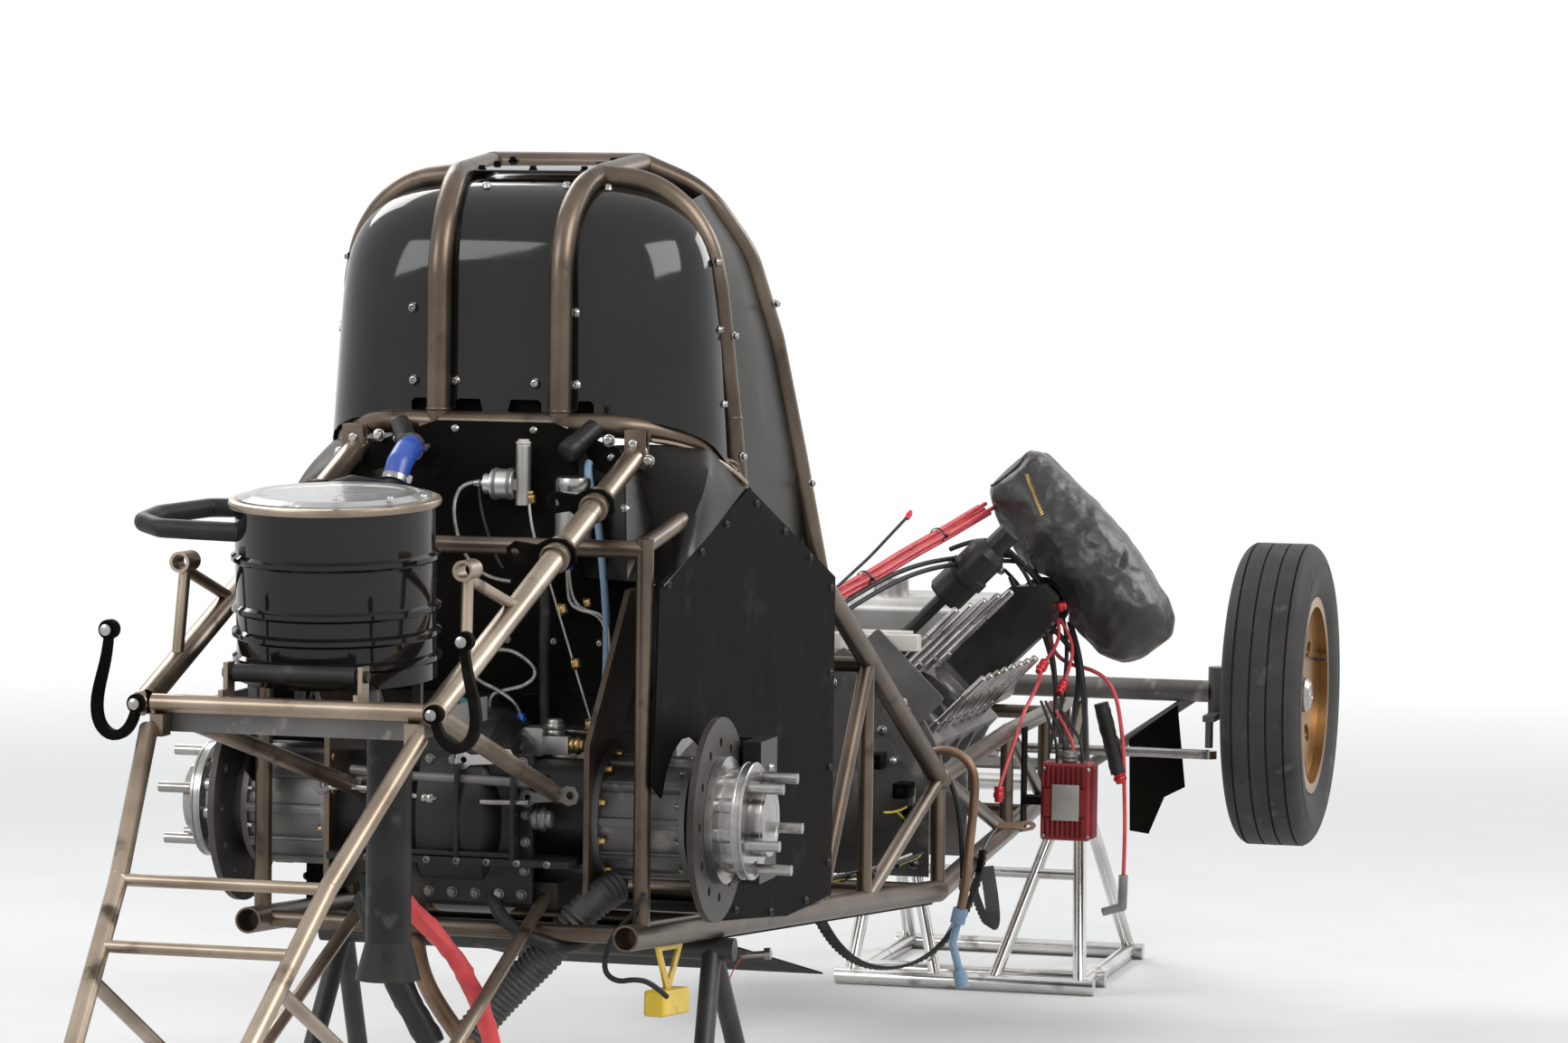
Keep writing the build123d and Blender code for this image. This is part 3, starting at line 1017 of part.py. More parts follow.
def make_stands():
    base_x0, base_x1, half = STAND_FRONT_X - 560, STAND_FRONT_X, 275
    floor = -HUB_HEIGHT
    r = STAND_TUBE_R
    top_z = RAIL_FRONT_Z - RAIL_D / 2 - r - SEAT_GAP
    z0 = floor + r
    head_x = NOSE_X - 60
    parts = [rod((x, -half, z0), (x, half, z0), 2 * r) for x in (base_x0, base_x1, base_x0 + 130)]
    parts += [rod((base_x0, s * (half - 30), z0), (base_x1, s * (half - 30), z0), 2 * r) for s in (-1, 1)]
    head = axle_rail_y(head_x) + 20
    parts.append(rod((head_x, -head, top_z), (head_x, head, top_z), 2 * r))
    for s in (-1, 1):
        for x in (base_x0, base_x1):
            parts.append(rod((x, s * (half - 30), z0), (head_x, s * (head - 20), top_z), 2 * r - 6))
        parts.append(rod((base_x0, s * 60, z0), (head_x, s * (head - 40), top_z), 2 * r - 8))
    # rung across the two rear legs, at this share of their height
    share = 0.55
    leg = [a + share * (b - a) for a, b in zip((base_x0, half - 30, z0), (head_x, head - 20, top_z))]
    parts.append(rod((leg[0], -leg[1], leg[2]), tuple(leg), 22))
    save("front_stand", fuse(parts))
    head_x = 240
    top_z = rail_z(head_x) - (RAIL_D / 2 + r + SEAT_GAP) / math.cos(math.atan(RAIL_SLOPE))
    parts = []
    for s in (-1, 1):
        for x in (-60, 540):
            parts.append(rod((x, s * 330, z0), (head_x, s * 290, top_z), 30))
        parts.append(rod((-60, s * 330, z0), (540, s * 330, z0), 2 * r))
    parts += [rod((x, -330, z0), (x, 330, z0), 2 * r) for x in (-60, 540)]
    parts += [ball((x, y, z0), 2 * r) for x in (-60, 540) for y in (-330, 330)]
    parts.append(rod((head_x, -325, top_z), (head_x, 325, top_z), 2 * r))
    save("rear_stand", fuse(parts))


for_wheel = {"left": 1, "right": -1}

frame_shape = make_frame()
make_dome(frame_shape)
make_seat()
make_axle()
make_spool()
make_calipers()
make_rear_struts(frame_shape, nodes["axle_housing"][0])
make_panels(nodes["rear_struts"][0])
make_can()
make_rear_pipes(nodes["catch_can"][0])
make_panel_fittings()
make_wheelie(nodes["axle_housing"][0])
make_engine(frame_shape)
make_driveline()
make_front_axle(frame_shape)
for name, sign in for_wheel.items():
    save("knuckle_" + name, make_knuckle(sign))
    tyre_shape, rim_shape = make_wheel(sign)
    save("front_tyre_" + name, tyre_shape)
    save("front_rim_" + name, rim_shape)
make_steering(frame_shape)
make_steering_wheel()
make_engine_bay()
make_small_pieces()
make_cords()
make_stands()

os.makedirs("parts", exist_ok=True)
place_all = Pos(SHIFT_X, 0, HUB_HEIGHT)
for name, solids in nodes.items():
    shape = Compound(children=[place_all * s for s in solids]) if len(solids) > 1 else place_all * solids[0]
    export_step(shape, os.path.join("parts", name + ".step"))
    print(name, len(solids), round(sum(s.volume for s in solids) / 1e6, 3), "litres")
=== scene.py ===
import math

import bmesh
import bpy
from mathutils import Matrix, Vector, noise
from mathutils.bvhtree import BVHTree


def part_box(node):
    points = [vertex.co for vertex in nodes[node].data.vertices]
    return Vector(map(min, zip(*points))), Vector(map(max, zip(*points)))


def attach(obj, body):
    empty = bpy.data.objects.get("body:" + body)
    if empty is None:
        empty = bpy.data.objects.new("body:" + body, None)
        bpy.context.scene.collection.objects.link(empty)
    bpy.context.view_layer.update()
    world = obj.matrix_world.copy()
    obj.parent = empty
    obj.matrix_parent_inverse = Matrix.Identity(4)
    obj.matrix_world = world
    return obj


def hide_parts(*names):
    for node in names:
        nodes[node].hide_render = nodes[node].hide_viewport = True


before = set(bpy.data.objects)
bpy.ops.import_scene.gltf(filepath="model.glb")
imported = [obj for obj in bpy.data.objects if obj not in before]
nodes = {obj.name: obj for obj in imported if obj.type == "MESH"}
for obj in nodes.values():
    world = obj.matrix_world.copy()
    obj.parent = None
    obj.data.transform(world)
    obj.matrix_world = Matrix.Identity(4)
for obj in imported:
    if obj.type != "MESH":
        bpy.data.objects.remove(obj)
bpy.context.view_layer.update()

# The CAD source is drawn from the middle of the rear axle, in millimetres
SHIFT = Vector((-1.2135, 0.0, 0.740))
WHEELBASE = 3175.0
TYRE_Y = 678.0
WHEEL_DROP = 84.0
DISC_Y = 355.0
HUB_FACE_Y = 417.0
BELL_IN_Y = 200.0
BELL_OUT_Y = 335.0
PLATE_LEAN = math.radians(14.5)
REAR_BAR_END = (-832, 204, 222)


def at(x, y, z):
    """Point in metres in the shared frame, from millimetres from the rear axle."""
    return Vector((x, y, z)) / 1000 + SHIFT


def side_y(x):
    """Outer face of the side frame, which widens to the front."""
    return 290.0 + 0.04 * x


# Camera at the photograph's viewing angle
PHOTO_WIDTH, PHOTO_HEIGHT = 1733, 1153
LENS_PIXELS = 5755.3
YAW, PITCH, ROLL = 0.251, math.radians(3.44), 0.013
CAMERA_SPOT = Vector((-8.4185, -2.301, 1.620))
SENSOR = 36.0


def make_camera():
    data = bpy.data.cameras.new("photo_camera")
    data.sensor_width = SENSOR
    data.sensor_fit = "HORIZONTAL"
    data.lens = LENS_PIXELS / PHOTO_WIDTH * SENSOR
    data.clip_end = 200
    camera = bpy.data.objects.new("photo_camera", data)
    bpy.context.collection.objects.link(camera)
    ahead = Vector((math.cos(YAW) * math.cos(PITCH), math.sin(YAW) * math.cos(PITCH), -math.sin(PITCH)))
    right = Vector((math.sin(YAW), -math.cos(YAW), 0))
    up = right.cross(ahead)
    turned_right = math.cos(ROLL) * right + math.sin(ROLL) * up
    turned_up = -math.sin(ROLL) * right + math.cos(ROLL) * up
    turn = Matrix((turned_right, turned_up, -ahead)).transposed()
    camera.matrix_world = Matrix.Translation(CAMERA_SPOT) @ turn.to_4x4()
    bpy.context.scene.camera = camera


make_camera()


# Materials, each kept by its name
M = {}


def new_material(name):
    material = bpy.data.materials.new(name)
    material.use_nodes = True
    tree = material.node_tree
    shader = next(n for n in tree.nodes if n.type == "BSDF_PRINCIPLED")
    return material, tree, shader


def textured(tree, kind, scale, detail=4.0):
    """A noise, wave or cell texture in the object's own coordinates."""
    place = tree.nodes.new("ShaderNodeTexCoord")
    texture = tree.nodes.new(kind)
    texture.inputs["Scale"].default_value = scale
    if "Detail" in texture.inputs:
        texture.inputs["Detail"].default_value = detail
    tree.links.new(place.outputs["Object"], texture.inputs["Vector"])
    return texture


def ramp(tree, source, stops):
    node = tree.nodes.new("ShaderNodeValToRGB")
    elements = node.color_ramp.elements
    while len(elements) < len(stops):
        elements.new(0.5)
    for element, (where, colour) in zip(elements, stops):
        element.position = where
        element.color = (*colour, 1)
    tree.links.new(source, node.inputs["Fac"])
    return node.outputs["Color"]


def finish(name, dark, light, metal=0.0, rough=(0.35, 0.5), scale=9.0, fine=260.0, bump=0.08,
           depth=0.0004, coat=0.0, coat_rough=0.08, sheen=0.0, scuff=None, spec=0.5,
           grain="ShaderNodeTexNoise"):
    """Two-tone procedural finish with its own roughness and relief, and scuffs where they're given."""
    material, tree, shader = new_material(name)
    broad = textured(tree, "ShaderNodeTexNoise", scale, 6.0)
    colour = ramp(tree, broad.outputs["Fac"], [(0.32, dark), (0.68, light)])
    small = textured(tree, grain, fine, 3.0)
    small_out = small.outputs["Fac"] if "Fac" in small.outputs else small.outputs["Distance"]
    if scuff:
        marks = textured(tree, "ShaderNodeTexNoise", scuff[1], 8.0)
        mask = ramp(tree, marks.outputs["Fac"], [(0.60, (0, 0, 0)), (0.72, (1, 1, 1))])
        mix = tree.nodes.new("ShaderNodeMix")
        mix.data_type = "RGBA"
        tree.links.new(mask, mix.inputs["Factor"])
        tree.links.new(colour, mix.inputs["A"])
        mix.inputs["B"].default_value = (*scuff[0], 1)
        colour = mix.outputs["Result"]
    tree.links.new(colour, shader.inputs["Base Color"])
    spread = tree.nodes.new("ShaderNodeMapRange")
    spread.inputs["To Min"].default_value, spread.inputs["To Max"].default_value = rough
    tree.links.new(broad.outputs["Fac"], spread.inputs["Value"])
    tree.links.new(spread.outputs["Result"], shader.inputs["Roughness"])
    relief = tree.nodes.new("ShaderNodeBump")
    relief.inputs["Strength"].default_value = bump
    relief.inputs["Distance"].default_value = depth
    tree.links.new(small_out, relief.inputs["Height"])
    tree.links.new(relief.outputs["Normal"], shader.inputs["Normal"])
    shader.inputs["Metallic"].default_value = metal
    shader.inputs["Specular IOR Level"].default_value = spec
    shader.inputs["Coat Weight"].default_value = coat
    shader.inputs["Coat Roughness"].default_value = coat_rough
    shader.inputs["Sheen Weight"].default_value = sheen
    M[name] = material


def add_wave(material, scale, direction, depth, strength):
    """Fine even lines such as machining or braid, on top of a finish's relief."""
    tree = material.node_tree
    shader = next(n for n in tree.nodes if n.type == "BSDF_PRINCIPLED")
    wave = textured(tree, "ShaderNodeTexWave", scale)
    wave.wave_type = "BANDS"
    wave.bands_direction = direction
    wave.wave_profile = "SIN"
    wave.inputs["Distortion"].default_value = 0.4
    relief = tree.nodes.new("ShaderNodeBump")
    relief.inputs["Strength"].default_value = strength
    relief.inputs["Distance"].default_value = depth
    tree.links.new(wave.outputs["Fac"], relief.inputs["Height"])
    below = shader.inputs["Normal"].links[0].from_socket
    tree.links.new(below, relief.inputs["Normal"])
    tree.links.new(relief.outputs["Normal"], shader.inputs["Normal"])


def clear_film():
    finish("clear_lid", (0.78, 0.79, 0.78), (0.9, 0.91, 0.9), rough=(0.05, 0.2), fine=40, bump=0.5,
           depth=0.002)
    shader = next(n for n in M["clear_lid"].node_tree.nodes if n.type == "BSDF_PRINCIPLED")
    shader.inputs["Transmission Weight"].default_value = 0.75
    shader.inputs["IOR"].default_value = 1.4


finish("chromoly", (0.075, 0.056, 0.042), (0.17, 0.132, 0.10), 0.8, (0.26, 0.42), 7, fine=420, bump=0.05,
       scuff=((0.045, 0.034, 0.027), 16))
finish("gloss_black", (0.004, 0.004, 0.0045), (0.011, 0.010, 0.0095), 0.0, (0.06, 0.11), 4, fine=90,
       bump=0.015, coat=0.12, coat_rough=0.03, spec=0.34)
finish("satin_black", (0.004, 0.0038, 0.0035), (0.010, 0.009, 0.008), 0.0, (0.4, 0.55), 6, fine=300,
       bump=0.08, spec=0.012, scuff=((0.018, 0.015, 0.012), 14))
finish("black_cast", (0.009, 0.0085, 0.008), (0.026, 0.025, 0.024), 0.1, (0.3, 0.46), 8, fine=520, bump=0.3,
       spec=0.3, scuff=((0.07, 0.058, 0.046), 12))
finish("bare_aluminium", (0.40, 0.39, 0.37), (0.62, 0.61, 0.59), 0.85, (0.3, 0.46), 8, fine=600, bump=0.12,
       scuff=((0.22, 0.20, 0.18), 10))
finish("titanium_grey", (0.10, 0.096, 0.090), (0.19, 0.183, 0.175), 0.6, (0.36, 0.54), 7, fine=520,
       bump=0.12, scuff=((0.34, 0.32, 0.30), 18))
finish("machined_steel", (0.24, 0.232, 0.225), (0.46, 0.45, 0.435), 0.95, (0.18, 0.32), 12, fine=500,
       bump=0.08, scuff=((0.25, 0.22, 0.19), 20))
finish("disc_dark", (0.028, 0.025, 0.024), (0.075, 0.066, 0.06), 0.35, (0.42, 0.6), 9, fine=380, bump=0.25,
       scuff=((0.14, 0.10, 0.07), 11))
finish("tyre_rubber", (0.016, 0.016, 0.017), (0.042, 0.040, 0.038), 0.0, (0.55, 0.75), 10, fine=700,
       bump=0.3, spec=0.35, scuff=((0.08, 0.073, 0.066), 24))
finish("gold_rim", (0.25, 0.14, 0.055), (0.42, 0.26, 0.12), 0.9, (0.22, 0.36), 8, fine=320, bump=0.05,
       scuff=((0.18, 0.11, 0.06), 15))
finish("cover_vinyl", (0.008, 0.0075, 0.0065), (0.022, 0.019, 0.0155), 0.0, (0.24, 0.38), 6, fine=340,
       bump=0.28, depth=0.0008, sheen=0.12, grain="ShaderNodeTexVoronoi", scuff=((0.05, 0.04, 0.03), 9))
finish("red_case", (0.20, 0.016, 0.022), (0.32, 0.035, 0.042), 0.35, (0.3, 0.42), 9, fine=500, bump=0.08,
       scuff=((0.22, 0.03, 0.03), 18))
finish("stand_chrome", (0.5, 0.49, 0.48), (0.74, 0.73, 0.71), 1.0, (0.12, 0.24), 6, fine=260, bump=0.04,
       scuff=((0.32, 0.29, 0.26), 17))
finish("stand_black", (0.02, 0.019, 0.018), (0.05, 0.047, 0.045), 0.1, (0.4, 0.56), 8, fine=420, bump=0.15,
       scuff=((0.16, 0.12, 0.09), 13))
finish("hose_black", (0.010, 0.010, 0.0105), (0.027, 0.026, 0.025), 0.0, (0.4, 0.56), 16, fine=620,
       bump=0.12, spec=0.25, scuff=((0.055, 0.05, 0.046), 28))
finish("hose_red", (0.50, 0.04, 0.055), (0.72, 0.085, 0.10), 0.0, (0.32, 0.46), 20, fine=500, bump=0.1,
       scuff=((0.35, 0.03, 0.04), 30))
finish("hose_blue", (0.018, 0.06, 0.34), (0.05, 0.13, 0.52), 0.0, (0.28, 0.42), 16, fine=380, bump=0.1,
       coat=0.2, scuff=((0.03, 0.05, 0.22), 26))
finish("hose_bronze", (0.14, 0.08, 0.05), (0.27, 0.17, 0.11), 0.6, (0.34, 0.5), 12, fine=300, bump=0.1,
       scuff=((0.09, 0.05, 0.035), 20))
finish("boot_grey", (0.15, 0.155, 0.155), (0.27, 0.275, 0.27), 0.0, (0.42, 0.6), 14, fine=420, bump=0.12,
       scuff=((0.09, 0.085, 0.08), 22))
finish("yellow_case", (0.55, 0.36, 0.02), (0.78, 0.55, 0.05), 0.0, (0.34, 0.5), 12, fine=500, bump=0.1,
       scuff=((0.22, 0.15, 0.03), 20))
finish("seat_black", (0.018, 0.018, 0.018), (0.05, 0.048, 0.045), 0.0, (0.46, 0.62), 10, fine=420, bump=0.3,
       sheen=0.15, scuff=((0.09, 0.08, 0.07), 12))
clear_film()
finish("braided", (0.22, 0.215, 0.21), (0.5, 0.49, 0.47), 0.85, (0.3, 0.45), 60, fine=900, bump=0.4)
add_wave(M["braided"], 260, "DIAGONAL", 0.0006, 0.8)
finish("brass", (0.33, 0.21, 0.08), (0.55, 0.39, 0.17), 0.9, (0.25, 0.4), 20, fine=500,
       scuff=((0.2, 0.13, 0.07), 26))
finish("anodised_blue", (0.02, 0.10, 0.42), (0.05, 0.2, 0.62), 0.7, (0.22, 0.36), 20)
finish("anodised_red", (0.42, 0.02, 0.03), (0.62, 0.05, 0.06), 0.7, (0.22, 0.36), 20)
finish("pale_blue", (0.13, 0.22, 0.33), (0.24, 0.36, 0.48), 0.0, (0.35, 0.5), 18)
finish("teal", (0.015, 0.17, 0.19), (0.03, 0.28, 0.30), 0.1, (0.35, 0.5), 18)
finish("foil", (0.42, 0.41, 0.39), (0.75, 0.74, 0.72), 0.9, (0.25, 0.5), 30, fine=60, bump=0.9, depth=0.002)
add_wave(M["foil"], 70, "X", 0.002, 0.6)
finish("white_tray", (0.55, 0.53, 0.48), (0.74, 0.72, 0.68), 0.0, (0.45, 0.6), 10,
       scuff=((0.36, 0.32, 0.26), 9))
finish("wire_yellow", (0.55, 0.42, 0.05), (0.75, 0.6, 0.12), 0.0, (0.4, 0.55), 24)
finish("ribbon_red", (0.48, 0.03, 0.04), (0.68, 0.07, 0.07), 0.0, (0.55, 0.7), 24, fine=700, bump=0.4,
       sheen=0.2)
finish("rim_machined", (0.25, 0.15, 0.065), (0.44, 0.28, 0.13), 0.95, (0.2, 0.34), 8,
       scuff=((0.17, 0.11, 0.06), 15))
add_wave(M["rim_machined"], 160, "Y", 0.0003, 0.4)
finish("duct_grey", (0.028, 0.028, 0.027), (0.07, 0.07, 0.066), 0.0, (0.45, 0.6), 14, fine=300,
       scuff=((0.03, 0.03, 0.028), 22))
# lit copy of the chromoly tube colour: the same bare tube painted lighter, as painted light on the rear bar,
# struts and rims
finish("lit_chromoly", (0.22, 0.17, 0.125), (0.42, 0.34, 0.265), 0.88, (0.24, 0.4), 7, fine=420, bump=0.05,
       scuff=((0.08, 0.06, 0.045), 16))
finish("dull_aluminium", (0.13, 0.125, 0.12), (0.30, 0.29, 0.28), 0.75, (0.34, 0.52), 9, fine=600, bump=0.2,
       scuff=((0.08, 0.07, 0.06), 11))
finish("panel_dark", (0.006, 0.0055, 0.005), (0.016, 0.014, 0.012), 0.0, (0.24, 0.38), 5, fine=240,
       bump=0.05, spec=0.1, scuff=((0.035, 0.03, 0.025), 12))
finish("dark_steel", (0.09, 0.088, 0.085), (0.22, 0.215, 0.21), 0.9, (0.24, 0.38), 14, fine=500,
       scuff=((0.06, 0.052, 0.045), 22))

# Finish of the CAD nodes that show as they are
NODES_OF = {
    "chromoly": "roll_cage cockpit_frame engine_frame nose_frame axle_plates",
    # rear bar and struts take the lit chromoly copy, painted lighter as painted light
    "lit_chromoly": "rear_struts wheelie_bar",
    "gloss_black": "dome_shroud catch_can",
    "panel_dark": "lower_shroud",
    "satin_black": "cage_panels back_panel side_panels floor_pan belly_sheet rear_hooks steering_wheel "
                   "ignition_bracket nose_flaps",
    "seat_black": "seat",
    "black_cast": "axle_housing brake_calipers oil_pan front_cover magnetos driveline",
    "titanium_grey": "axle_bells can_tray bellhousing motor_plate front_axle knuckle_left knuckle_right",
    "machined_steel": "rear_hub_left rear_hub_right cylinder_sleeves head_studs tie_rod",
    "disc_dark": "brake_discs",
    "clear_lid": "can_lid",
    "hose_black": "rear_pipes",
    "hose_blue": "coupling_hose",
    "hose_bronze": "hanging_hose",
    "hose_red": "plug_lead",
    "bare_aluminium": "panel_fittings steering_rack fuel_tank",
    "dull_aluminium": "engine_block",
    "stand_black": "wheelie_wheels rear_stand",
    "stand_chrome": "front_stand",
    "tyre_rubber": "front_tyre_left front_tyre_right",
    "gold_rim": "front_rim_left front_rim_right",
    "red_case": "ignition_box",
    "yellow_case": "sensor_box",
    "cover_vinyl": "cover_bag",
    "pale_blue": "hose_cap",
    "boot_grey": "plug_boot",
}
for key, names in NODES_OF.items():
    for name in names.split():
        materials = nodes[name].data.materials
        materials.clear()
        materials.append(M[key])


# Piece makers
def dress(item, key, body):
    item.data.materials.clear()
    item.data.materials.append(M[key])
    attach(item, body)
    return item


def held(name, bm):
    """Object in the scene that takes over a bmesh."""
    mesh = bpy.data.meshes.new(name)
    bm.to_mesh(mesh)
    bm.free()
    item = bpy.data.objects.new(name, mesh)
    bpy.context.collection.objects.link(item)
    return item


def piece(name, bm, key, body="chassis", smooth=38.0):
    """Object from a bmesh, shaded smooth but for its sharp edges."""
    for face in bm.faces:
        face.smooth = True
    limit = math.radians(smooth)
    for edge in bm.edges:
        if len(edge.link_faces) == 2 and edge.calc_face_angle(0) > limit:
            edge.smooth = False
    return dress(held(name, bm), key, body)


def closed_piece(name, bm, key, body="chassis", smooth=38.0):
    """A piece whose faces are first turned outwards."""
    bmesh.ops.recalc_face_normals(bm, faces=bm.faces)
    return piece(name, bm, key, body, smooth)


def add_skin(bm, rings, closed=True):
    """Faces between rings of points: closed round and at both ends, or an open sheet."""
    for low, high in zip(rings, rings[1:]):
        for i in range(len(low) if closed else len(low) - 1):
            j = (i + 1) % len(low)
            bm.faces.new((low[i], low[j], high[j], high[i]))
    if closed:
        bm.faces.new(rings[0])
        bm.faces.new(rings[-1][::-1])


def circle(r, steps):
    return [(r * math.cos(a), r * math.sin(a)) for a in (2 * math.pi * i / steps for i in range(steps))]


def around(count, r, start=0.0):
    """Even places on a circle, each (x, z) in millimetres, from a start in degrees."""
    angles = [math.radians(360 / count * i + start) for i in range(count)]
    return [(r * math.cos(a), r * math.sin(a)) for a in angles]


def turning(direction):
    """Rotation that takes Z to a direction."""
    return Vector(direction).normalized().to_track_quat("Z", "X").to_matrix().to_4x4()


def add_turned(bm, profile, place, segments=32):
    """Surface turned about the local Z axis from (radius, height) pairs in millimetres."""
    rings = []
    for r, h in profile:
        if r < 1e-6:
            rings.append([bm.verts.new(place @ Vector((0, 0, h / 1000)))])
            continue
        rings.append([bm.verts.new(place @ Vector((r / 1000 * math.cos(a), r / 1000 * math.sin(a), h / 1000)))
                      for a in (2 * math.pi * i / segments for i in range(segments))])
    for low, high in zip(rings, rings[1:]):
        for i in range(segments):
            j = (i + 1) % segments
            if len(low) == 1 and len(high) == 1:
                continue
            if len(low) == 1:
                bm.faces.new((low[0], high[j], high[i]))
            elif len(high) == 1:
                bm.faces.new((low[i], low[j], high[0]))
            else:
                bm.faces.new((low[i], low[j], high[j], high[i]))


def turned(name, profile, centre, direction, key, body="chassis", segments=96, smooth=38.0):
    bm = bmesh.new()
    add_turned(bm, profile, Matrix.Translation(centre) @ turning(direction), segments)
    return closed_piece(name, bm, key, body, smooth)


def add_hex(bm, place, across, height):
    """Hexagon head with a chamfer, on a washer."""
    r = across / 2 / math.cos(math.pi / 6)
    add_turned(bm, [(0, 0), (r * 1.25, 0), (r * 1.3, 0.4), (r * 1.25, 1.3), (r, 1.5)], place, 20)
    add_turned(bm, [(r, 1.2), (r, height - 1), (r * 0.86, height), (r * 0.5, height), (0, height * 0.9)],
               place, 6)


def add_socket(bm, place, d, height):
    """Cap head with a hexagonal recess."""
    r = d / 2
    add_turned(bm, [(r * 1.35, 0), (r * 1.35, 1.2), (r, 1.4), (r, height - 0.8), (r - 0.8, height),
                    (r * 0.55, height)], place, 20)
    add_turned(bm, [(r * 0.55, height), (r * 0.5, height - 2.5), (0, height - 3)], place, 6)


def fasteners(name, places, key="machined_steel", body="chassis", size=11.0, height=6.0, kind="hex"):
    """Bolt heads of one size: each place is a point in millimetres and an outward direction."""
    metric = [(at(*point), out) for point, out in places]
    return fasteners_at(name, metric, key, body, size, height, kind, 0.7)


def fasteners_at(name, places, key="machined_steel", body="chassis", size=11.0, height=6.0, kind="hex",
                 spin=0.9):
    """Bolt heads at points in metres, each turned on by the same angle."""
    bm = bmesh.new()
    add_head = add_hex if kind == "hex" else add_socket
    for i, (point, out) in enumerate(places):
        place = Matrix.Translation(point) @ turning(out) @ Matrix.Rotation(i * spin, 4, "Z")
        add_head(bm, place, size, height)
    return piece(name, bm, key, body, 32)


def add_block(bm, lo, hi, bevel=2.0):
    """Box with softened edges between two corners in millimetres."""
    made = bmesh.ops.create_cube(bm, size=1)
    lo, hi = at(*lo), at(*hi)
    size, middle = hi - lo, (hi + lo) / 2
    scale = Matrix.Diagonal((abs(size.x), abs(size.y), abs(size.z), 1))
    bmesh.ops.transform(bm, matrix=Matrix.Translation(middle) @ scale, verts=made["verts"])
    edges = {e for v in made["verts"] for e in v.link_edges}
    bmesh.ops.bevel(bm, geom=list(edges), offset=bevel / 1000, segments=2, affect="EDGES", profile=0.7)


def plate(name, outline, holes, thickness, origin, x_dir, z_dir, key, bevel=0.5):
    """Flat plate with round holes: outline and (x, y, radius) holes in millimetres on its own plane."""
    curve = bpy.data.curves.new(name + "_line", "CURVE")
    curve.dimensions = "2D"
    curve.fill_mode = "BOTH"
    curve.extrude = thickness / 2000 - bevel / 1000
    curve.bevel_depth = bevel / 1000
    curve.offset = -bevel / 1000
    loops = [list(outline)]
    for x, y, r in holes:
        loops.append([(x + a, y + b) for a, b in circle(r, 20)])
    for loop in loops:
        spline = curve.splines.new("POLY")
        spline.points.add(len(loop) - 1)
        for point, (x, y) in zip(spline.points, loop):
            point.co = (x / 1000, y / 1000, 0, 1)
        spline.use_cyclic_u = True
    holder = bpy.data.objects.new(name + "_line", curve)
    bpy.context.collection.objects.link(holder)
    mesh = bpy.data.meshes.new_from_object(holder)
    bpy.data.objects.remove(holder)
    z = Vector(z_dir).normalized()
    x = (Vector(x_dir) - z * Vector(x_dir).dot(z)).normalized()
    turn = Matrix((x, z.cross(x), z)).transposed().to_4x4()
    mesh.transform(Matrix.Translation(at(*origin)) @ turn)
    bm = bmesh.new()
    bm.from_mesh(mesh)
    bmesh.ops.remove_doubles(bm, verts=bm.verts, dist=0.00001)
    return piece(name, bm, key, "chassis", 30)


def line_of(name, points, d, order):
    """Round curve through the space near its points, for hoses, wires and tubes."""
    curve = bpy.data.curves.new(name, "CURVE")
    curve.dimensions = "3D"
    curve.bevel_depth = d / 2000
    curve.bevel_resolution = 3
    curve.resolution_u = 8
    curve.use_fill_caps = True
    spline = curve.splines.new("NURBS")
    spline.points.add(len(points) - 1)
    for point, place in zip(spline.points, points):
        point.co = (*at(*place), 1)
    spline.order_u = min(order, len(points))
    spline.use_endpoint_u = True
    item = bpy.data.objects.new(name, curve)
    bpy.context.collection.objects.link(item)
    return item


def hose(name, points, d, key, order=3):
    return dress(line_of(name, points, d, order), key, "chassis")


def collar(name, places, key="machined_steel"):
    """Short bands round hoses: each place is a point, a direction, an inner diameter and a width."""
    bm = bmesh.new()
    for point, way, d, width in places:
        r = d / 2 + 0.2
        place = Matrix.Translation(at(*point)) @ turning(way)
        add_turned(bm, [(r, -width / 2), (r + 1.4, -width / 2), (r + 1.8, 0), (r + 1.4, width / 2),
                        (r, width / 2)], place, 28)
        out = place @ Matrix.Translation((0, (r + 5) / 1000, 0))
        add_turned(bm, [(0, -width * 0.7), (3.6, -width * 0.7), (4.2, -width * 0.4), (4.2, width * 0.4),
                        (3.6, width * 0.7), (0, width * 0.7)], out, 8)
    return closed_piece(name, bm, key)


def fitting(name, point, way, d, key, length):
    """Hose end: a collar, a hexagon nut and a short waist."""
    bm = bmesh.new()
    place = Matrix.Translation(at(*point)) @ turning(way)
    r = d / 2
    add_turned(bm, [(0, 0), (r * 1.25, 0), (r * 1.4, 1), (r * 1.4, length * 0.3), (r * 1.05, length * 0.38)],
               place, 20)
    add_turned(bm, [(r * 1.5, length * 0.36), (r * 1.62, length * 0.42), (r * 1.62, length * 0.66),
                    (r * 1.5, length * 0.72)], place, 6)
    add_turned(bm, [(r * 1.2, length * 0.7), (r * 1.2, length * 0.9), (r, length), (0, length)], place, 20)
    return piece(name, bm, key, "chassis", 30)


# Free cords first
HOSE_ROUTE = ((1545, -295, -118), (1545, -295, -92), (1544, -310, -66), (1543, -336, -51),
              (1541, -366, -51), (1539, -392, -66), (1536, -406, -93), (1532, -406, -136),
              (1527, -402, -190), (1524, -398, -240), (1522, -395, -286), (1522, -387, -322))
LEAD_ROUTE = ((2690, -302, 62), (2690, -302, 40), (2691, -318, 16), (2691, -346, 2), (2692, -380, -4),
              (2693, -411, -20), (2694, -431, -52), (2696, -441, -102), (2698, -448, -165),
              (2700, -450, -240), (2700, -453, -322), (2700, -451, -404))


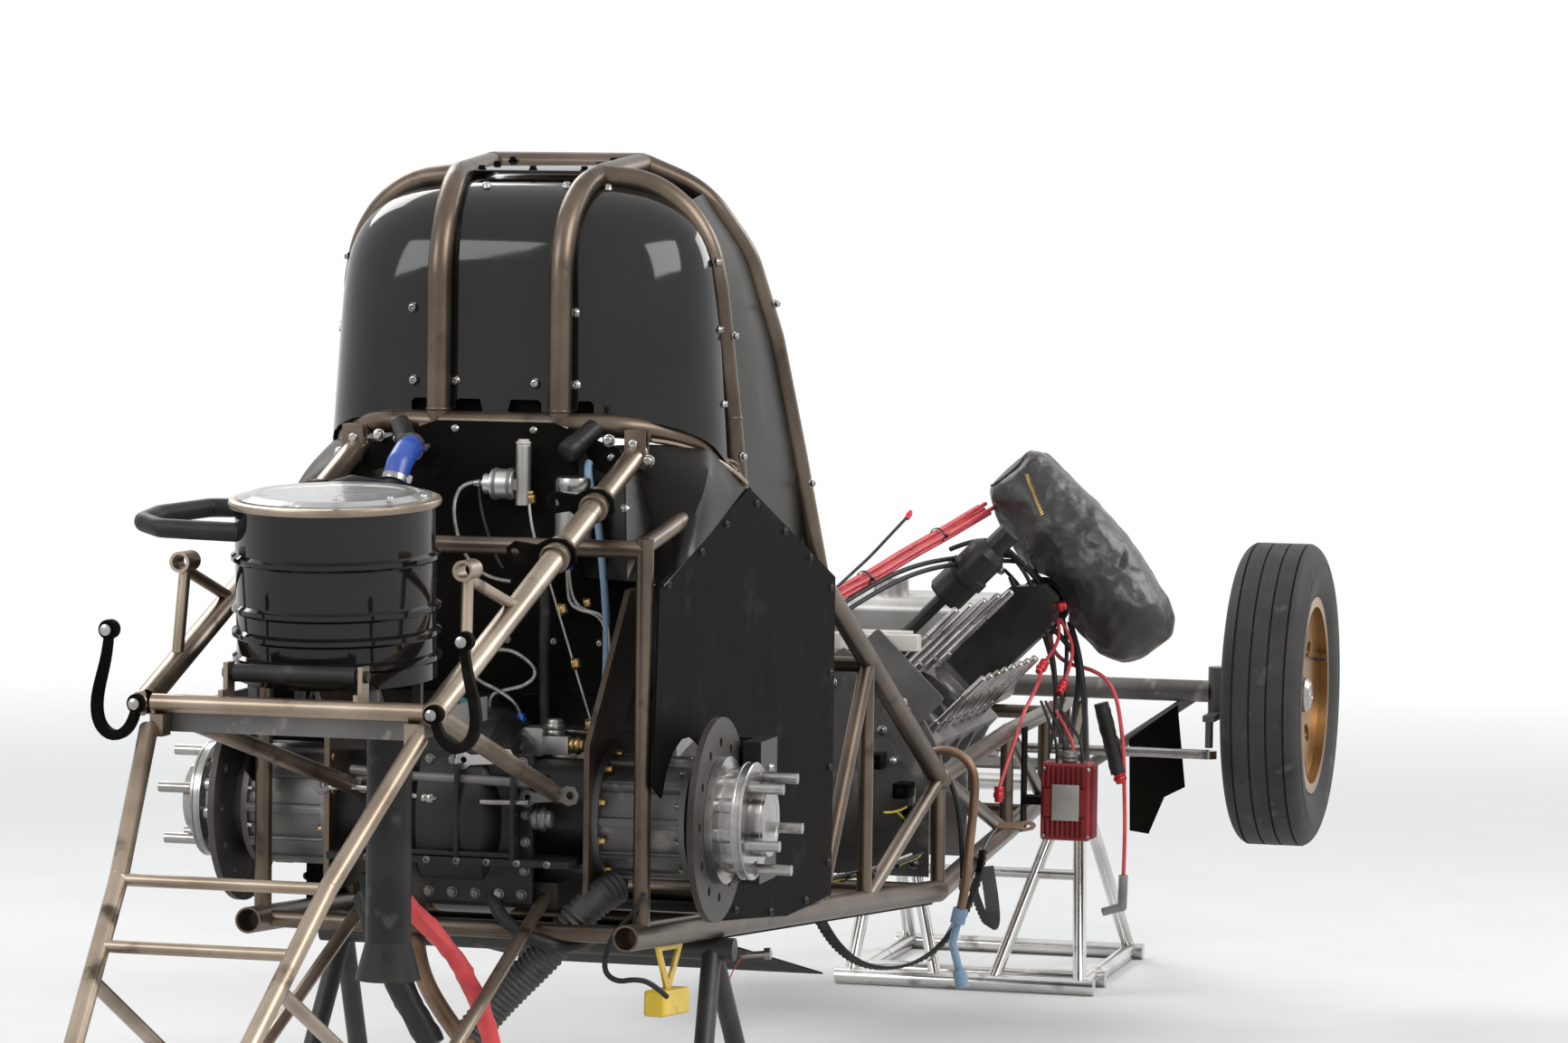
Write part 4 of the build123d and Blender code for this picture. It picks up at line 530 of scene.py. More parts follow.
def free_cord(name, route, d, key):
    item = hose(name + "_line", route, d, key, order=3)
    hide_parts(name)


free_cord("hanging_hose", HOSE_ROUTE, 16.0, "hose_bronze")
free_cord("plug_lead", LEAD_ROUTE, 8.0, "hose_red")


# Front tyres with rounded shoulders, four grooves and wear dimples in the ribs
def smooth_through(points, steps):
    """Smooth line through points, each (a, b)."""
    line = []
    padded = [points[0]] + list(points) + [points[-1]]
    for p0, p1, p2, p3 in zip(padded, padded[1:], padded[2:], padded[3:]):
        for i in range(steps):
            t = i / steps
            line.append(tuple(0.5 * (2 * b + (c - a) * t + (2 * a - 5 * b + 4 * c - d) * t * t
                                     + (3 * b - a - 3 * c + d) * t ** 3)
                              for a, b, c, d in zip(p0, p1, p2, p3)))
    line.append(points[-1])
    return line


def make_front_wheel(side, sign):
    centre = at(WHEELBASE, sign * TYRE_Y, -WHEEL_DROP)
    body = "front_wheel_" + side
    wall = smooth_through([(190.5, 58), (196, 64), (212, 72.5), (232, 78), (252, 79.8), (270, 78.5),
                           (285, 73.5), (297, 65), (303.3, 55.5)], 3)
    tread = []
    for y in (51, 17, -17, -51):
        tread += [(304.2, y + 2.6), (303.6, y + 2), (298, y + 1.6), (297.8, y - 1.6), (303.6, y - 2),
                  (304.2, y - 2.6)]
    profile = wall + tread + [(r, -y) for r, y in wall[::-1]] + [(190.5, 58)]
    tyre = turned("tyre_" + side, [(r, -sign * y) for r, y in profile], centre, (0, -1, 0), "tyre_rubber",
                  body, 128, 40)
    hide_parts("front_tyre_" + side)
    # small round wear dimples in the ribs and a raised line on the outer wall
    bm = bmesh.new()
    for y, start in ((-34, 0), (0, 7.5), (34, 0)):
        for x, z in around(24, 1, start):
            out = Vector((x, 0, z))
            spot = centre + out * 0.3041 + Vector((0, y / 1000, 0))
            add_turned(bm, [(0, -0.4), (2.2, -0.3), (2.9, 0.35), (3.4, 0.1)],
                       Matrix.Translation(spot) @ turning(out), 10)
    piece("tread_marks_" + side, bm, "hose_black", body)
    ring = [(264, 79.0), (264.6, 80.0), (266.6, 80.0), (267.2, 78.6)]
    turned("wall_line_" + side, [(r, y) for r, y in ring], centre, (0, sign, 0), "tyre_rubber", body, 128)
    # spun rim: stepped lip, dished disc and a bright hub cap
    lip = [(178, 62), (186, 64), (190, 66), (196.5, 67), (198, 65.5), (198, 63.4), (190, 61), (186, 58),
           (181, 52), (179, 44), (176, 40), (168, 42.5), (150, 40.5), (128, 37), (110, 34.5), (92, 33),
           (78, 34), (66, 36.5), (52, 37), (40, 36), (36, 33)]
    turned("rim_face_" + side, lip, centre, (0, sign, 0), "rim_machined", body, 128, 30)
    cap = [(36, 33), (36, 38), (34.5, 52), (31, 56), (27, 60.2), (21, 61.4), (20, 58.6), (12, 58), (11, 60.6),
           (0, 61.6)]
    turned("hub_cap_" + side, cap, centre, (0, sign, 0), "machined_steel", body, 64, 30)
    rivets = []
    for count, r, y in ((16, 172, TYRE_Y + 41), (5, 52, TYRE_Y + 36)):
        rivets += [((WHEELBASE + x, sign * y, -WHEEL_DROP + z), (0, sign, 0)) for x, z in around(count, r)]
    fasteners("rim_bolts_" + side, rivets, "machined_steel", body, 8, 5)
    valve = at(WHEELBASE + 150, sign * (TYRE_Y + 40), -WHEEL_DROP + 60)
    turned("valve_" + side, [(4, 0), (4, 10), (3, 12), (3, 26), (2, 27), (0, 27)], valve, (0, sign, 0),
           "hose_black", body, 16)


for side, sign in (("left", 1), ("right", -1)):
    make_front_wheel(side, sign)


# Rear ends: ribs and nuts of the bells, turned rings and lobes of the hubs, thread on the studs
BELL_RIBS = 10
STUDS = 5
STUD_CIRCLE_R = 69.85
FIRST_STUD = {"left": 18, "right": -13}


def add_stud(bm, place):
    """Thread turns on a stud, and a collar at its foot."""
    turns = [(7.2, 0)]
    for j in range(20):
        turns += [(8.05, 1 + j * 2.3), (7.3, 2.1 + j * 2.3)]
    turns += [(6.2, 51), (0, 52.4)]
    add_turned(bm, turns, place, 16)
    add_turned(bm, [(11, -0.5), (11.5, 0.6), (11, 2), (8, 2.4)], place, 20)


def add_ring_of(bm, profile, places, y, way, segments):
    """The same turned form at each place round the axle."""
    for x, z in places:
        add_turned(bm, profile, Matrix.Translation(at(x, y, z)) @ turning(way), segments)


def make_rear_end(side, sign):
    out = (0, sign, 0)
    nuts = [((x, sign * (BELL_IN_Y + 9), z), out) for x, z in around(BELL_RIBS, 89.5, 18)]
    fasteners("bell_nuts_" + side, nuts, "brass", "chassis", 9.5, 9)
    ends = [((x, sign * (BELL_OUT_Y - 9), z), (0, -sign, 0)) for x, z in around(BELL_RIBS, 86.5, 18)]
    fasteners("bell_end_nuts_" + side, ends, "machined_steel", "chassis", 6, 7)
    rings = [(62, 6), (68, 6.4), (69.5, 8), (69.5, 9.5), (63, 9.6)]
    turned("hub_inner_ring_" + side, rings, at(0, sign * BELL_OUT_Y, 0), out, "machined_steel",
           "rear_spool", 96)
    lip = [(84, 46), (84.9, 46.5), (84.9, 49), (84, 50), (84, 57), (84.9, 58), (84.9, 61), (83.2, 62.3),
           (74, 62.6), (52, 62.4)]
    turned("hub_flange_skin_" + side, lip, at(0, sign * DISC_Y, 0), out, "machined_steel", "rear_spool",
           128, 25)
    snout = [(50, 62), (50.8, 64), (50.8, 80), (48.5, 84.6), (36, 85.4), (34, 82), (24, 81.4), (23, 85.2),
             (0, 85.3)]
    turned("hub_snout_" + side, snout, at(0, sign * DISC_Y, 0), out, "machined_steel", "rear_spool", 96, 25)
    studs = bmesh.new()
    for x, z in around(STUDS, STUD_CIRCLE_R, FIRST_STUD[side]):
        add_stud(studs, Matrix.Translation(at(x, sign * HUB_FACE_Y, z)) @ turning(out))
    closed_piece("stud_threads_" + side, studs, "dark_steel", "rear_spool", 20)
    ribs = bmesh.new()
    length = BELL_OUT_Y - BELL_IN_Y - 18
    add_ring_of(ribs, [(8, 0), (7.4, 4), (7.4, length - 4), (8, length)], around(BELL_RIBS, 83),
                sign * (BELL_IN_Y + 9), out, 20)
    closed_piece("bell_ribs_" + side, ribs, "titanium_grey", "chassis", 30)
    lobes = bmesh.new()
    add_ring_of(lobes, [(11, 0), (12.5, 1.5), (12.5, 32), (0, 32)], around(BELL_RIBS, 64, 12),
                sign * (DISC_Y + 13), out, 24)
    closed_piece("hub_lobes_" + side, lobes, "machined_steel", "rear_spool", 30)
    heads = [((150, sign * (DISC_Y + 43.8), z), out) for z in (62, -62)]
    heads += [((188, sign * (DISC_Y + dy), z), (1, 0, 0)) for dy in (-20, 30) for z in (-80, -30, 30, 80)]
    fasteners("caliper_bolts_" + side, heads, "machined_steel", "chassis", 9, 6, "socket")
    line = [(150, sign * (DISC_Y - 30), 100), (150, sign * (DISC_Y - 30), 118),
            (120, sign * (DISC_Y - 40), 130), (60, sign * (DISC_Y - 60), 140), (40, sign * 270, 150),
            (60, sign * 262, 220)]
    hose("brake_line_" + side, line, 7, "braided")


for side, sign in (("left", 1), ("right", -1)):
    make_rear_end(side, sign)


# Spots that are placed by a pixel of the photograph, found on the solid that carries them
def sight_line(px, py):
    turn = bpy.context.scene.camera.matrix_world.to_3x3()
    x = (px - PHOTO_WIDTH / 2) / LENS_PIXELS
    y = -(py - PHOTO_HEIGHT / 2) / LENS_PIXELS
    return (turn @ Vector((x, y, -1))).normalized()


trees = {}


def tree_of(item):
    if item.name not in trees:
        mesh = item.data
        trees[item.name] = BVHTree.FromPolygons([v.co.copy() for v in mesh.vertices],
                                                [tuple(p.vertices) for p in mesh.polygons])
    return trees[item.name]


def spots(item, pixels, both_sides=False):
    """Places and outward directions of pixels on an object, and their mirror images if wanted."""
    found = []
    for px, py in pixels:
        place, out = tree_of(item).ray_cast(CAMERA_SPOT, sight_line(px, py))[:2]
        if place is None:
            continue
        if out.dot(sight_line(px, py)) > 0:
            out = -out
        found.append((place, out))
        if both_sides:
            found.append((Vector((place.x, -place.y, place.z)), Vector((out.x, -out.y, out.z))))
    return found


# Cover bag over the ignition at the engine's front, from a simulated skin
BAG_X = 2710.0
BAG_SECTIONS = ((8, -212, 378, 52, 62), (8, -224, 366, 76, 76), (5, -286, 291, 98, 84),
                (0, -344, 222, 108, 90), (0, -409, 146, 110, 90), (2, -462, 82, 98, 86),
                (3, -490, 54, 76, 68), (5, -508, 42, 46, 40))
BAG_DOWN = Vector((0, -0.7, -0.71))
BAG_ACROSS = Vector((0, 0.71, -0.7))
BAG_CAP = 0.014
BAG_TOP = (-206.0, 392.0)
BAG_STEPS = 40
BAG_POWER = 0.62
MAGNETO_SPOT = (-285.0, 120.0)
MAGNETO_R = 0.062
CLOTH_STEPS = 20


def squared(angle, half_u, half_v):
    """Point on a rounded square, at its two half widths."""
    c, s = math.cos(angle), math.sin(angle)
    return (math.copysign(abs(c) ** BAG_POWER, c) * half_u, math.copysign(abs(s) ** BAG_POWER, s) * half_v)


def bag_skin():
    bm = bmesh.new()
    rings = []
    along = BAG_DOWN.normalized()
    across = along.cross(Vector((1, 0, 0)))
    for x, y, z, half_x, half_n in BAG_SECTIONS:
        middle = at(BAG_X + x, y, z)
        ring = []
        for i in range(BAG_STEPS):
            u, v = squared(2 * math.pi * i / BAG_STEPS, (half_x - 5) / 1000, (half_n - 5) / 1000)
            ring.append(bm.verts.new(middle + Vector((1, 0, 0)) * u + across * v))
        rings.append(ring)
    add_skin(bm, rings)
    bmesh.ops.recalc_face_normals(bm, faces=bm.faces)
    return held("cover_bag_skin", bm)


def baked(item, name):
    """A mesh object holding what an object's modifiers make of it."""
    graph = bpy.context.evaluated_depsgraph_get()
    mesh = bpy.data.meshes.new_from_object(item.evaluated_get(graph))
    made = bpy.data.objects.new(name, mesh)
    bpy.context.collection.objects.link(made)
    return made


def simulated(skin, name, cap):
    """Cloth blown a little by its own pressure, each point kept within a short way of its start."""
    before = [v.co.copy() for v in skin.data.vertices]
    cloth = skin.modifiers.new("Cloth", "CLOTH")
    cloth.settings.quality = 6
    cloth.settings.mass = 0.4
    cloth.settings.tension_stiffness = 25
    cloth.settings.bending_stiffness = 0.4
    cloth.settings.use_pressure = True
    cloth.settings.uniform_pressure_force = 4
    cloth.settings.effector_weights.gravity = 0
    cloth.point_cache.frame_end = CLOTH_STEPS
    for step in range(1, CLOTH_STEPS + 1):
        bpy.context.scene.frame_set(step)
    made = baked(skin, name)
    bpy.data.objects.remove(skin)
    bpy.context.scene.frame_set(1)
    for vertex, start in zip(made.data.vertices, before):
        move = vertex.co - start
        if move.length > cap:
            vertex.co = start + move.normalized() * cap
    return made


def bag_folds(place):
    """Height of the slack folds at a place on the bag: long soft valleys from the mouth to the foot."""
    from_top = place - at(BAG_X, *BAG_TOP)
    along = from_top.dot(BAG_DOWN)
    across = from_top.dot(BAG_ACROSS)
    bend = noise.noise(place * 7.0) * 0.9
    valley = math.sin((across * 26 + along * 9 + bend) * 2.1)
    crumple = noise.fractal(place * 15.0, 0.8, 2.1, 4)
    return 0.0042 * valley * (0.4 + abs(bend)) + 0.0042 * crumple


def make_bag():
    skin = bag_skin()
    remesh = skin.modifiers.new("Remesh", "REMESH")
    remesh.mode = "VOXEL"
    remesh.voxel_size = 0.006
    dense = baked(skin, "cover_bag_dense")
    bpy.data.objects.remove(skin)
    bag = simulated(dense, "cover_bag_cloth", BAG_CAP)
    bag.data.update()
    for vertex in bag.data.vertices:
        vertex.co += vertex.normal * bag_folds(vertex.co)
        # the bag rests on the magneto without going into it
        y, z = (at(0, *MAGNETO_SPOT) - vertex.co).yz
        gap = math.hypot(y, z)
        if gap < MAGNETO_R:
            vertex.co.y -= y * (MAGNETO_R / gap - 1)
            vertex.co.z -= z * (MAGNETO_R / gap - 1)
    smooth = bag.modifiers.new("Subdivision", "SUBSURF")
    smooth.levels = 1
    smooth.render_levels = 1
    done = baked(bag, "cover_bag_shell")
    bpy.data.objects.remove(bag)
    for polygon in done.data.polygons:
        polygon.use_smooth = True
    dress(done, "cover_vinyl", "chassis")
    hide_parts("cover_bag")
    return done


bag = make_bag()


def on_bag(x, y, z):
    """Closest place on the bag, and its outward direction."""
    hit = tree_of(bag).find_nearest(at(x, y, z))
    return hit[0], hit[1]


def make_bag_trim():
    # zip down the face that looks back, with its teeth and tapes, and a pressed hem at the mouth
    path = [on_bag(2600, y, z) for y, z in ((-262, 400), (-268, 376), (-276, 352), (-286, 326), (-296, 300))]
    teeth = bmesh.new()
    for (a, na), (b, nb) in zip(path, path[1:]):
        for i in range(7):
            t = i / 7
            place = a.lerp(b, t)
            out = na.lerp(nb, t).normalized()
            way = (b - a).normalized()
            side = out.cross(way)
            turn = Matrix((side, way, out)).transposed().to_4x4()
            made = bmesh.ops.create_cube(teeth, size=1)
            size = Matrix.Diagonal((0.006, 0.0024, 0.002, 1))
            bmesh.ops.transform(teeth, matrix=Matrix.Translation(place + out * 0.001) @ turn @ size,
                                verts=made["verts"])
    piece("bag_zip_teeth", teeth, "brass", "chassis", 30)
    for offset in (-1, 1):
        points = []
        for place, out in path:
            spot = (place + out * 0.0006 - SHIFT) * 1000
            points.append((spot.x, spot.y + offset * 6.5, spot.z + offset * 3.5))
        hose("bag_zip_tape_" + ("a" if offset < 0 else "b"), points, 3.2, "cover_vinyl")
    hem = []
    for i in range(25):
        u, v = squared(2 * math.pi * i / 24, 60, 37)
        place, out = on_bag(BAG_X + 8 + u * 1.3, BAG_TOP[0] + 0.71 * v * 1.5, BAG_TOP[1] - 0.7 * v * 1.5)
        hem.append(tuple((place + out * 0.001 - SHIFT) * 1000))
    hose("bag_mouth_hem", hem, 5, "cover_vinyl")


make_bag_trim()


# Shell round the driver's head, the cage and the panels behind the seat
DOME_BOLTS = ((457, 340), (635, 346), (458, 420), (503, 421), (592, 424), (636, 426))
ROOF_BOLTS = ((498, 206), (538, 206), (561, 192), (627, 206), (651, 193), (672, 208))
SHROUD_BOLTS = ((691, 562), (694, 650))


def make_cockpit_trim():
    fasteners_at("shroud_bolts", spots(nodes["lower_shroud"], SHROUD_BOLTS, True), size=10, height=6,
                 kind="socket")
    # slotted strip under the shoulder bar
    slots_along = [(-104 + 16 * i, 0, 2.6) for i in range(14)]
    plate("shoulder_strip", [(-116, -7), (112, -7), (112, 7), (-116, 7)], slots_along, 3, (59, 0, 552),
          (0, -1, 0), (-1, 0, 0), "titanium_grey")
    # lower part of the back panel laps over the upper one, with a row of fixings
    plate("back_panel_lap", [(-196, 252), (196, 252), (178, 170), (-178, 170)], [(0, 180, 4)], 1.6,
          (55.4, 0, 0), (0, -1, 0), (-1, 0, 0), "satin_black")
    laps = [((54.6, y, 244), (-1, 0, 0)) for y in (-165, -95, -25, 45, 115, 175)]
    edge = [((56.2, y, z), (-1, 0, 0)) for y, z in ((205, 380), (-207, 380), (205, 300), (-203, 300),
                                                   (150, 535), (60, 552), (-60, 552), (-178, 515))]
    fasteners("back_panel_fixings", laps + edge, "machined_steel", "chassis", 9, 4.5, "socket")
    # can's coupling clamps on the blue hose
    collar("coupling_clamps", [((20, 114, 526), (25, -3, 8), 38, 9),
                               ((-34, 121.6, 480), (14, -3, 27), 38, 9)])
    # fixings down the side panels' edges
    rows = []
    for side in (-1, 1):
        for x, z in ((-95, 345), (60, 382), (180, 415), (330, 438), (480, 388), (620, 340), (740, 285),
                     (742, 150), (742, 0), (742, -150), (620, -196), (430, -190), (250, -165), (150, -130)):
            rows.append(((x, side * (side_y(x) + 22.6), z), (-0.04, side, 0)))
    fasteners("side_panel_fixings", rows, "black_cast", "chassis", 9, 4, "socket")
    # crease and folded rear edge of the side panels
    for side, name in ((-1, "right"), (1, "left")):
        fold = [(x, side * (side_y(x) + 21), z)
                for x, z in ((-129, 345), (-40, 369), (80, 402), (200, 434), (300, 461))]
        hose("side_panel_bead_" + name, fold, 6, "satin_black")


def make_back_lines():
    # canister's cap and foot, and the lines from the canister and the regulator
    turned("canister_cap", [(0, 488), (22, 488), (26.5, 486), (28.2, 480), (28.2, 468), (27.4, 466)],
           at(29.7, -131, 0), (0, 0, 1), "machined_steel", segments=48)
    turned("canister_base", [(27.6, 384), (28.2, 383), (28.2, 378), (20, 375), (8, 374), (0, 374)],
           at(29.7, -131, 0), (0, 0, 1), "machined_steel", segments=48)
    fitting("canister_union", (28, -125, 374), (0, 0, -1), 12, "anodised_blue", length=22)
    for i, shift in enumerate((0, 9)):
        hose("canister_pipe_%d" % i,
             [(28, -122 - shift * 0.4, 353), (28, -123 - shift * 0.4, 330), (27, -126 - shift, 305),
              (26, -140 - shift, 294), (24, -165 - shift, 290), (22, -180 - shift * 0.6, 278),
              (22, -184 - shift * 0.6, 255), (22, -186 - shift * 0.6, 200), (20, -186 - shift * 0.6, 100),
              (20, -182 - shift * 0.4, 66)], 6, "machined_steel")
    hose("blue_line", [(40, -150, 508), (30, -150, 500), (27, -157, 470), (25, -170, 420), (25, -180, 331),
                       (24, -185, 260), (24, -184, 186), (22, -178, 110), (20, -176, 62)], 12, "pale_blue")
    hose("dark_line", [(30, -78, 372), (26, -86, 341), (22, -92, 290), (22, -90, 222), (20, -93, 150),
                       (16, -97, 110), (14, -98, 70)], 17, "hose_black")
    hose("throttle_rod", [(26, -80, 382), (25, -95, 338), (24, -130, 232), (22, -165, 126)], 5,
         "machined_steel", order=2)
    hose("regulator_line", [(34, 18, 476), (30, 32, 474), (24, 46, 462), (20, 50, 430), (20, 38, 380),
                            (22, 14, 348), (26, -14, 334), (34, -34, 332)], 6, "braided")
    hose("regulator_lead", [(34, -62, 448), (30, -64, 430), (26, -72, 400), (24, -80, 372)], 6,
         "machined_steel")
    hose("black_lead_up", [(32, 14, 468), (24, 10, 440), (20, -4, 400), (20, -14, 372), (22, -26, 352)], 5,
         "hose_black")
    fitting("regulator_end_left", (34, 6, 474), (0, 1, 0), 9, "machined_steel", length=18)
    fitting("regulator_top", (34.7, -52, 528), (0, 0, 1), 14, "white_tray", length=12)
    fitting("regulator_foot", (34.7, -62, 464), (0, -0.3, -1), 9, "brass", length=18)
    collar("regulator_bands", [((34.7, -12, 474), (0, 1, 0), 44, 5), ((34.7, -34, 474), (0, 1, 0), 44, 5)],
           "titanium_grey")
    # valve block on top of the axle, with its dial, unions and the teal lever bracket
    bm = bmesh.new()
    add_block(bm, (-14, -100, 82), (34, -44, 124), 4)
    add_block(bm, (-4, -136, 84), (26, -96, 112), 4)
    add_block(bm, (2, -44, 88), (22, -22, 106), 3)
    piece("valve_block", bm, "bare_aluminium", "chassis", 30)
    turned("valve_dial", [(26, 0), (27, 4), (27, 9), (24, 12), (12, 12.4), (10, 16), (5, 16.4), (0, 16)],
           at(-14, -66, 92), (-1, 0, 0), "titanium_grey", segments=40)
    turned("valve_dial_boss", [(8, 15), (9, 18), (7, 21), (0, 21.5)], at(-14, -66, 92), (-1, 0, 0),
           "machined_steel", segments=24)
    fitting("valve_union_top", (8, -60, 124), (0, 0, 1), 12, "anodised_blue", length=18)
    fitting("valve_union_side", (8, -136, 98), (0, -1, 0), 16, "brass", length=22)
    fitting("valve_union_left", (8, -22, 97), (0, 1, 0), 14, "brass", length=22)
    fitting("valve_union_up", (10, -112, 112), (0, 0, 1), 20, "bare_aluminium", length=24)
    teal = [(-24, 92), (-2, 96), (6, 132), (-4, 158), (-26, 164), (-30, 140)]
    plate("teal_bracket", teal, [(-22, 146, 4), (-12, 108, 4)], 14, (-6, 0, 0), (0, -1, 0), (-1, 0, 0),
          "teal", bevel=2)
    hose("loop_line", [(8, -60, 138), (0, -58, 156), (-6, -30, 176), (-8, 4, 190), (-6, 14, 210),
                       (-2, -6, 232), (2, -46, 236), (4, -80, 214), (4, -84, 196), (2, -66, 182),
                       (0, -40, 176), (0, -14, 168), (6, -14, 130), (8, -12, 100)], 6, "braided")
    plate("valve_lever", [(-6, -5), (66, -12), (70, -4), (66, 3), (-4, 7)], [(60, -5, 3), (0, 0, 3)], 4,
          (22, -96, 122), (0, -1, 0), (-0.4, 0, 0.9), "machined_steel")


def make_strut_trim():
    top, end = Vector((66, -214, 522)), Vector((-820, -200, 222))
    way = (end - top).normalized()
    for share, name in ((0.2, "upper"), (0.4, "lower")):
        for side in (-1, 1):
            spot = top.lerp(end, share + 0.017)
            outline = [(-26, -10), (-12, -23), (10, -24), (30, -13), (62, -16), (74, -6), (74, 8), (62, 17),
                       (40, 12), (20, 26), (-10, 24), (-27, 10)]
            holes = [(62, 0, 6.5), (0, 0, 16.2)]
            plate("strut_bracket_%s_%s" % (name, "right" if side < 0 else "left"), outline, holes, 6,
                  (spot.x, -side * spot.y, spot.z), (0.25, -side, 0.12), tuple((way.x, way.y * -side, way.z)),
                  "satin_black", bevel=1)
    bands = []
    for share in (0.2, 0.235, 0.4, 0.435):
        for side in (-1, 1):
            spot = top.lerp(end, share)
            bands.append(((spot.x, -side * spot.y, spot.z), (way.x, way.y * -side, way.z), 40, 5))
    bm = bmesh.new()
    for point, direction, d, width in bands:
        place = Matrix.Translation(at(*point)) @ turning(direction)
        r = d / 2
        add_turned(bm, [(r - 4, -width / 2), (r + 1.2, -width / 2), (r + 1.8, 0), (r + 1.2, width / 2),
                        (r - 4, width / 2)], place, 32)
    piece("strut_collar_lips", bm, "chromoly", "chassis")
    # capped tube end and the bolted fork at the head of the right strut
    stub = [(15.5, 0), (15.5, 42), (17.2, 43), (17.8, 46), (17.8, 62), (15, 68), (9, 71), (0, 72)]
    for side in (-1, 1):
        turned("stub_cap_" + ("right" if side < 0 else "left"), stub, at(74, side * 148, 556),
               (-0.72, -side * 0.42, -0.52), "black_cast", segments=40)
    heads = [((52, side * y, z), (-1, 0, 0)) for side in (-1, 1) for y, z in ((214, 536), (236, 512),
                                                                          (176, 540))]
    fasteners("fork_bolts", heads, "machined_steel", "chassis", 13, 9)
    ears = bmesh.new()
    for side in (-1, 1):
        for dx in (-11, 7):
            lo, hi = sorted((side * 200, side * 232))
            add_block(ears, (60 + dx, lo, 500), (64 + dx, hi, 556), 1.5)
    piece("fork_ears", ears, "chromoly", "chassis", 30)
    # bolts through the two axle plates and along the cage's rear upright
    rows = []
    for side in (-1, 1):
        for x, z in ((-92, 30), (-92, 78), (100, 92), (104, 30), (-92, -96), (78, -100)):
            rows.append(((x, side * 198.6, z), (0, -side, 0)))
        for x, t in ((-96, 30), (-96, 120), (-96, 200), (30, 200)):
            rows.append(((x, side * (200.2 - math.sin(PLATE_LEAN) * t), 110 + t * 0.968), (0, side, 0.25)))
    fasteners("axle_plate_bolts", rows, "brass", "chassis", 13, 9)


def make_axle_trim():
    # flange bolts round the centre section's rear joint, ribs, a bare tag and the link tabs
    rows = []
    for y in (-104, -70, -35, 0, 35, 70, 104):
        rows.append(((-122, y, 84), (-1, 0, 0)))
        rows.append(((-122, y, -106), (-1, 0, 0)))
    for z in (-70, -30, 10, 50):
        rows += [((-122, side * 108, z), (-1, 0, 0)) for side in (-1, 1)]
    fasteners("centre_bolts", rows, "titanium_grey", "chassis", 11, 7)
    belt = [((-150, y, -57), (-1, 0, 0)) for y in (-150, -105, -60, -15, 30, 75, 120, 160)]
    fasteners("belt_bolts", belt, "titanium_grey", "chassis", 8, 5, "socket")
    bm = bmesh.new()
    for y in (-98, -14, 66):
        add_block(bm, (-152, y - 3.5, -52), (-118, y + 3.5, 82), 2)
    for y0, y1 in ((-98, -14), (-14, 66)):
        add_block(bm, (-150, y0, -50), (-120, y1, -43), 2)
    piece("centre_ribs", bm, "black_cast", "chassis", 30)
    oval = [(31 * math.copysign(abs(math.cos(a)) ** 0.5, math.cos(a)),
             12 * math.copysign(abs(math.sin(a)) ** 0.8, math.sin(a)))
            for a in (2 * math.pi * i / 40 for i in range(40))]
    plate("bare_tag", oval, [], 1.6, (-123.2, -12, 36), (0, -1, 0), (-1, 0, 0), "machined_steel")
    rim_points = [(-124.2, -12 - x * 1.03, 36 + z * 1.06) for x, z in oval + oval[:1]]
    hose("bare_tag_rim", rim_points, 2.2, "anodised_red")
    dog_bone = [(-44, -4), (-40, -12), (-30, -14), (-20, -8), (18, -8), (30, -15), (42, -12), (46, 0),
                (40, 12), (28, 14), (16, 7), (-18, 7), (-30, 13), (-40, 11)]
    for name, y, z, key in (("link_tab_right", -144, 38, "titanium_grey"),
                            ("link_tab_middle", -48, 88, "bare_aluminium"),
                            ("link_tab_left", 164, 44, "titanium_grey")):
        plate(name, dog_bone, [(33, 0, 5.5), (-30, 0, 4.5)], 6, (-128, y, z), (0, -1, 0.08), (-1, 0, 0.1),
              key, bevel=1.2)
    hose("cross_shaft", [(-134, 150, 66), (-134, 60, 60), (-134, -60, 58), (-134, -150, 56)], 15,
         "titanium_grey", order=2)
    hose("cross_pipe", [(-140, 180, 40), (-142, 120, 44), (-142, 40, 30), (-142, -60, 27), (-142, -120, 30)],
         9, "machined_steel")
    fitting("oil_union_left", (-140, 96, 28), (0, 0, -1), 13, "anodised_red", length=26)
    fitting("oil_union_right", (-140, 40, 30), (0, -1, 0), 12, "machined_steel", length=24)
    fitting("axle_side_plug", (-118, -118, 4), (0, -1, 0), 22, "titanium_grey", length=30)
    hose("axle_hose_a", [(-120, -60, -110), (-150, -80, -140), (-150, -140, -170), (-110, -180, -178),
                         (-40, -190, -172), (60, -196, -180), (180, -200, -190)], 20, "hose_black")
    hose("axle_hose_b", [(-80, 60, -128), (-110, 60, -170), (-170, 30, -220), (-220, -20, -268),
                         (-260, -70, -305)], 26, "hose_bronze")


make_cockpit_trim()
make_back_lines()
make_strut_trim()
make_axle_trim()


# Shell round the driver's head: as wide as the main hoop, and rounded to its flat rear face
SHELL_REAR_X = 96.5
SHELL_EDGE_X = 236.0
SHELL_TOP = 918.0
SHELL_HALF = 286.0
SHELL_POWER = 3.3
FLARE_TOP = 766.0
FLARE = 0.068


def shell_bottom(x):
    for x0, z0, x1, z1 in ((90, 572, 130, 558), (130, 558, 180, 536), (180, 536, 236, 500),
                           (236, 500, 300, 466), (300, 466, 600, 466)):
        if x <= x1:
            return z0 + (z1 - z0) * max(0.0, (x - x0) / (x1 - x0))
    return 484


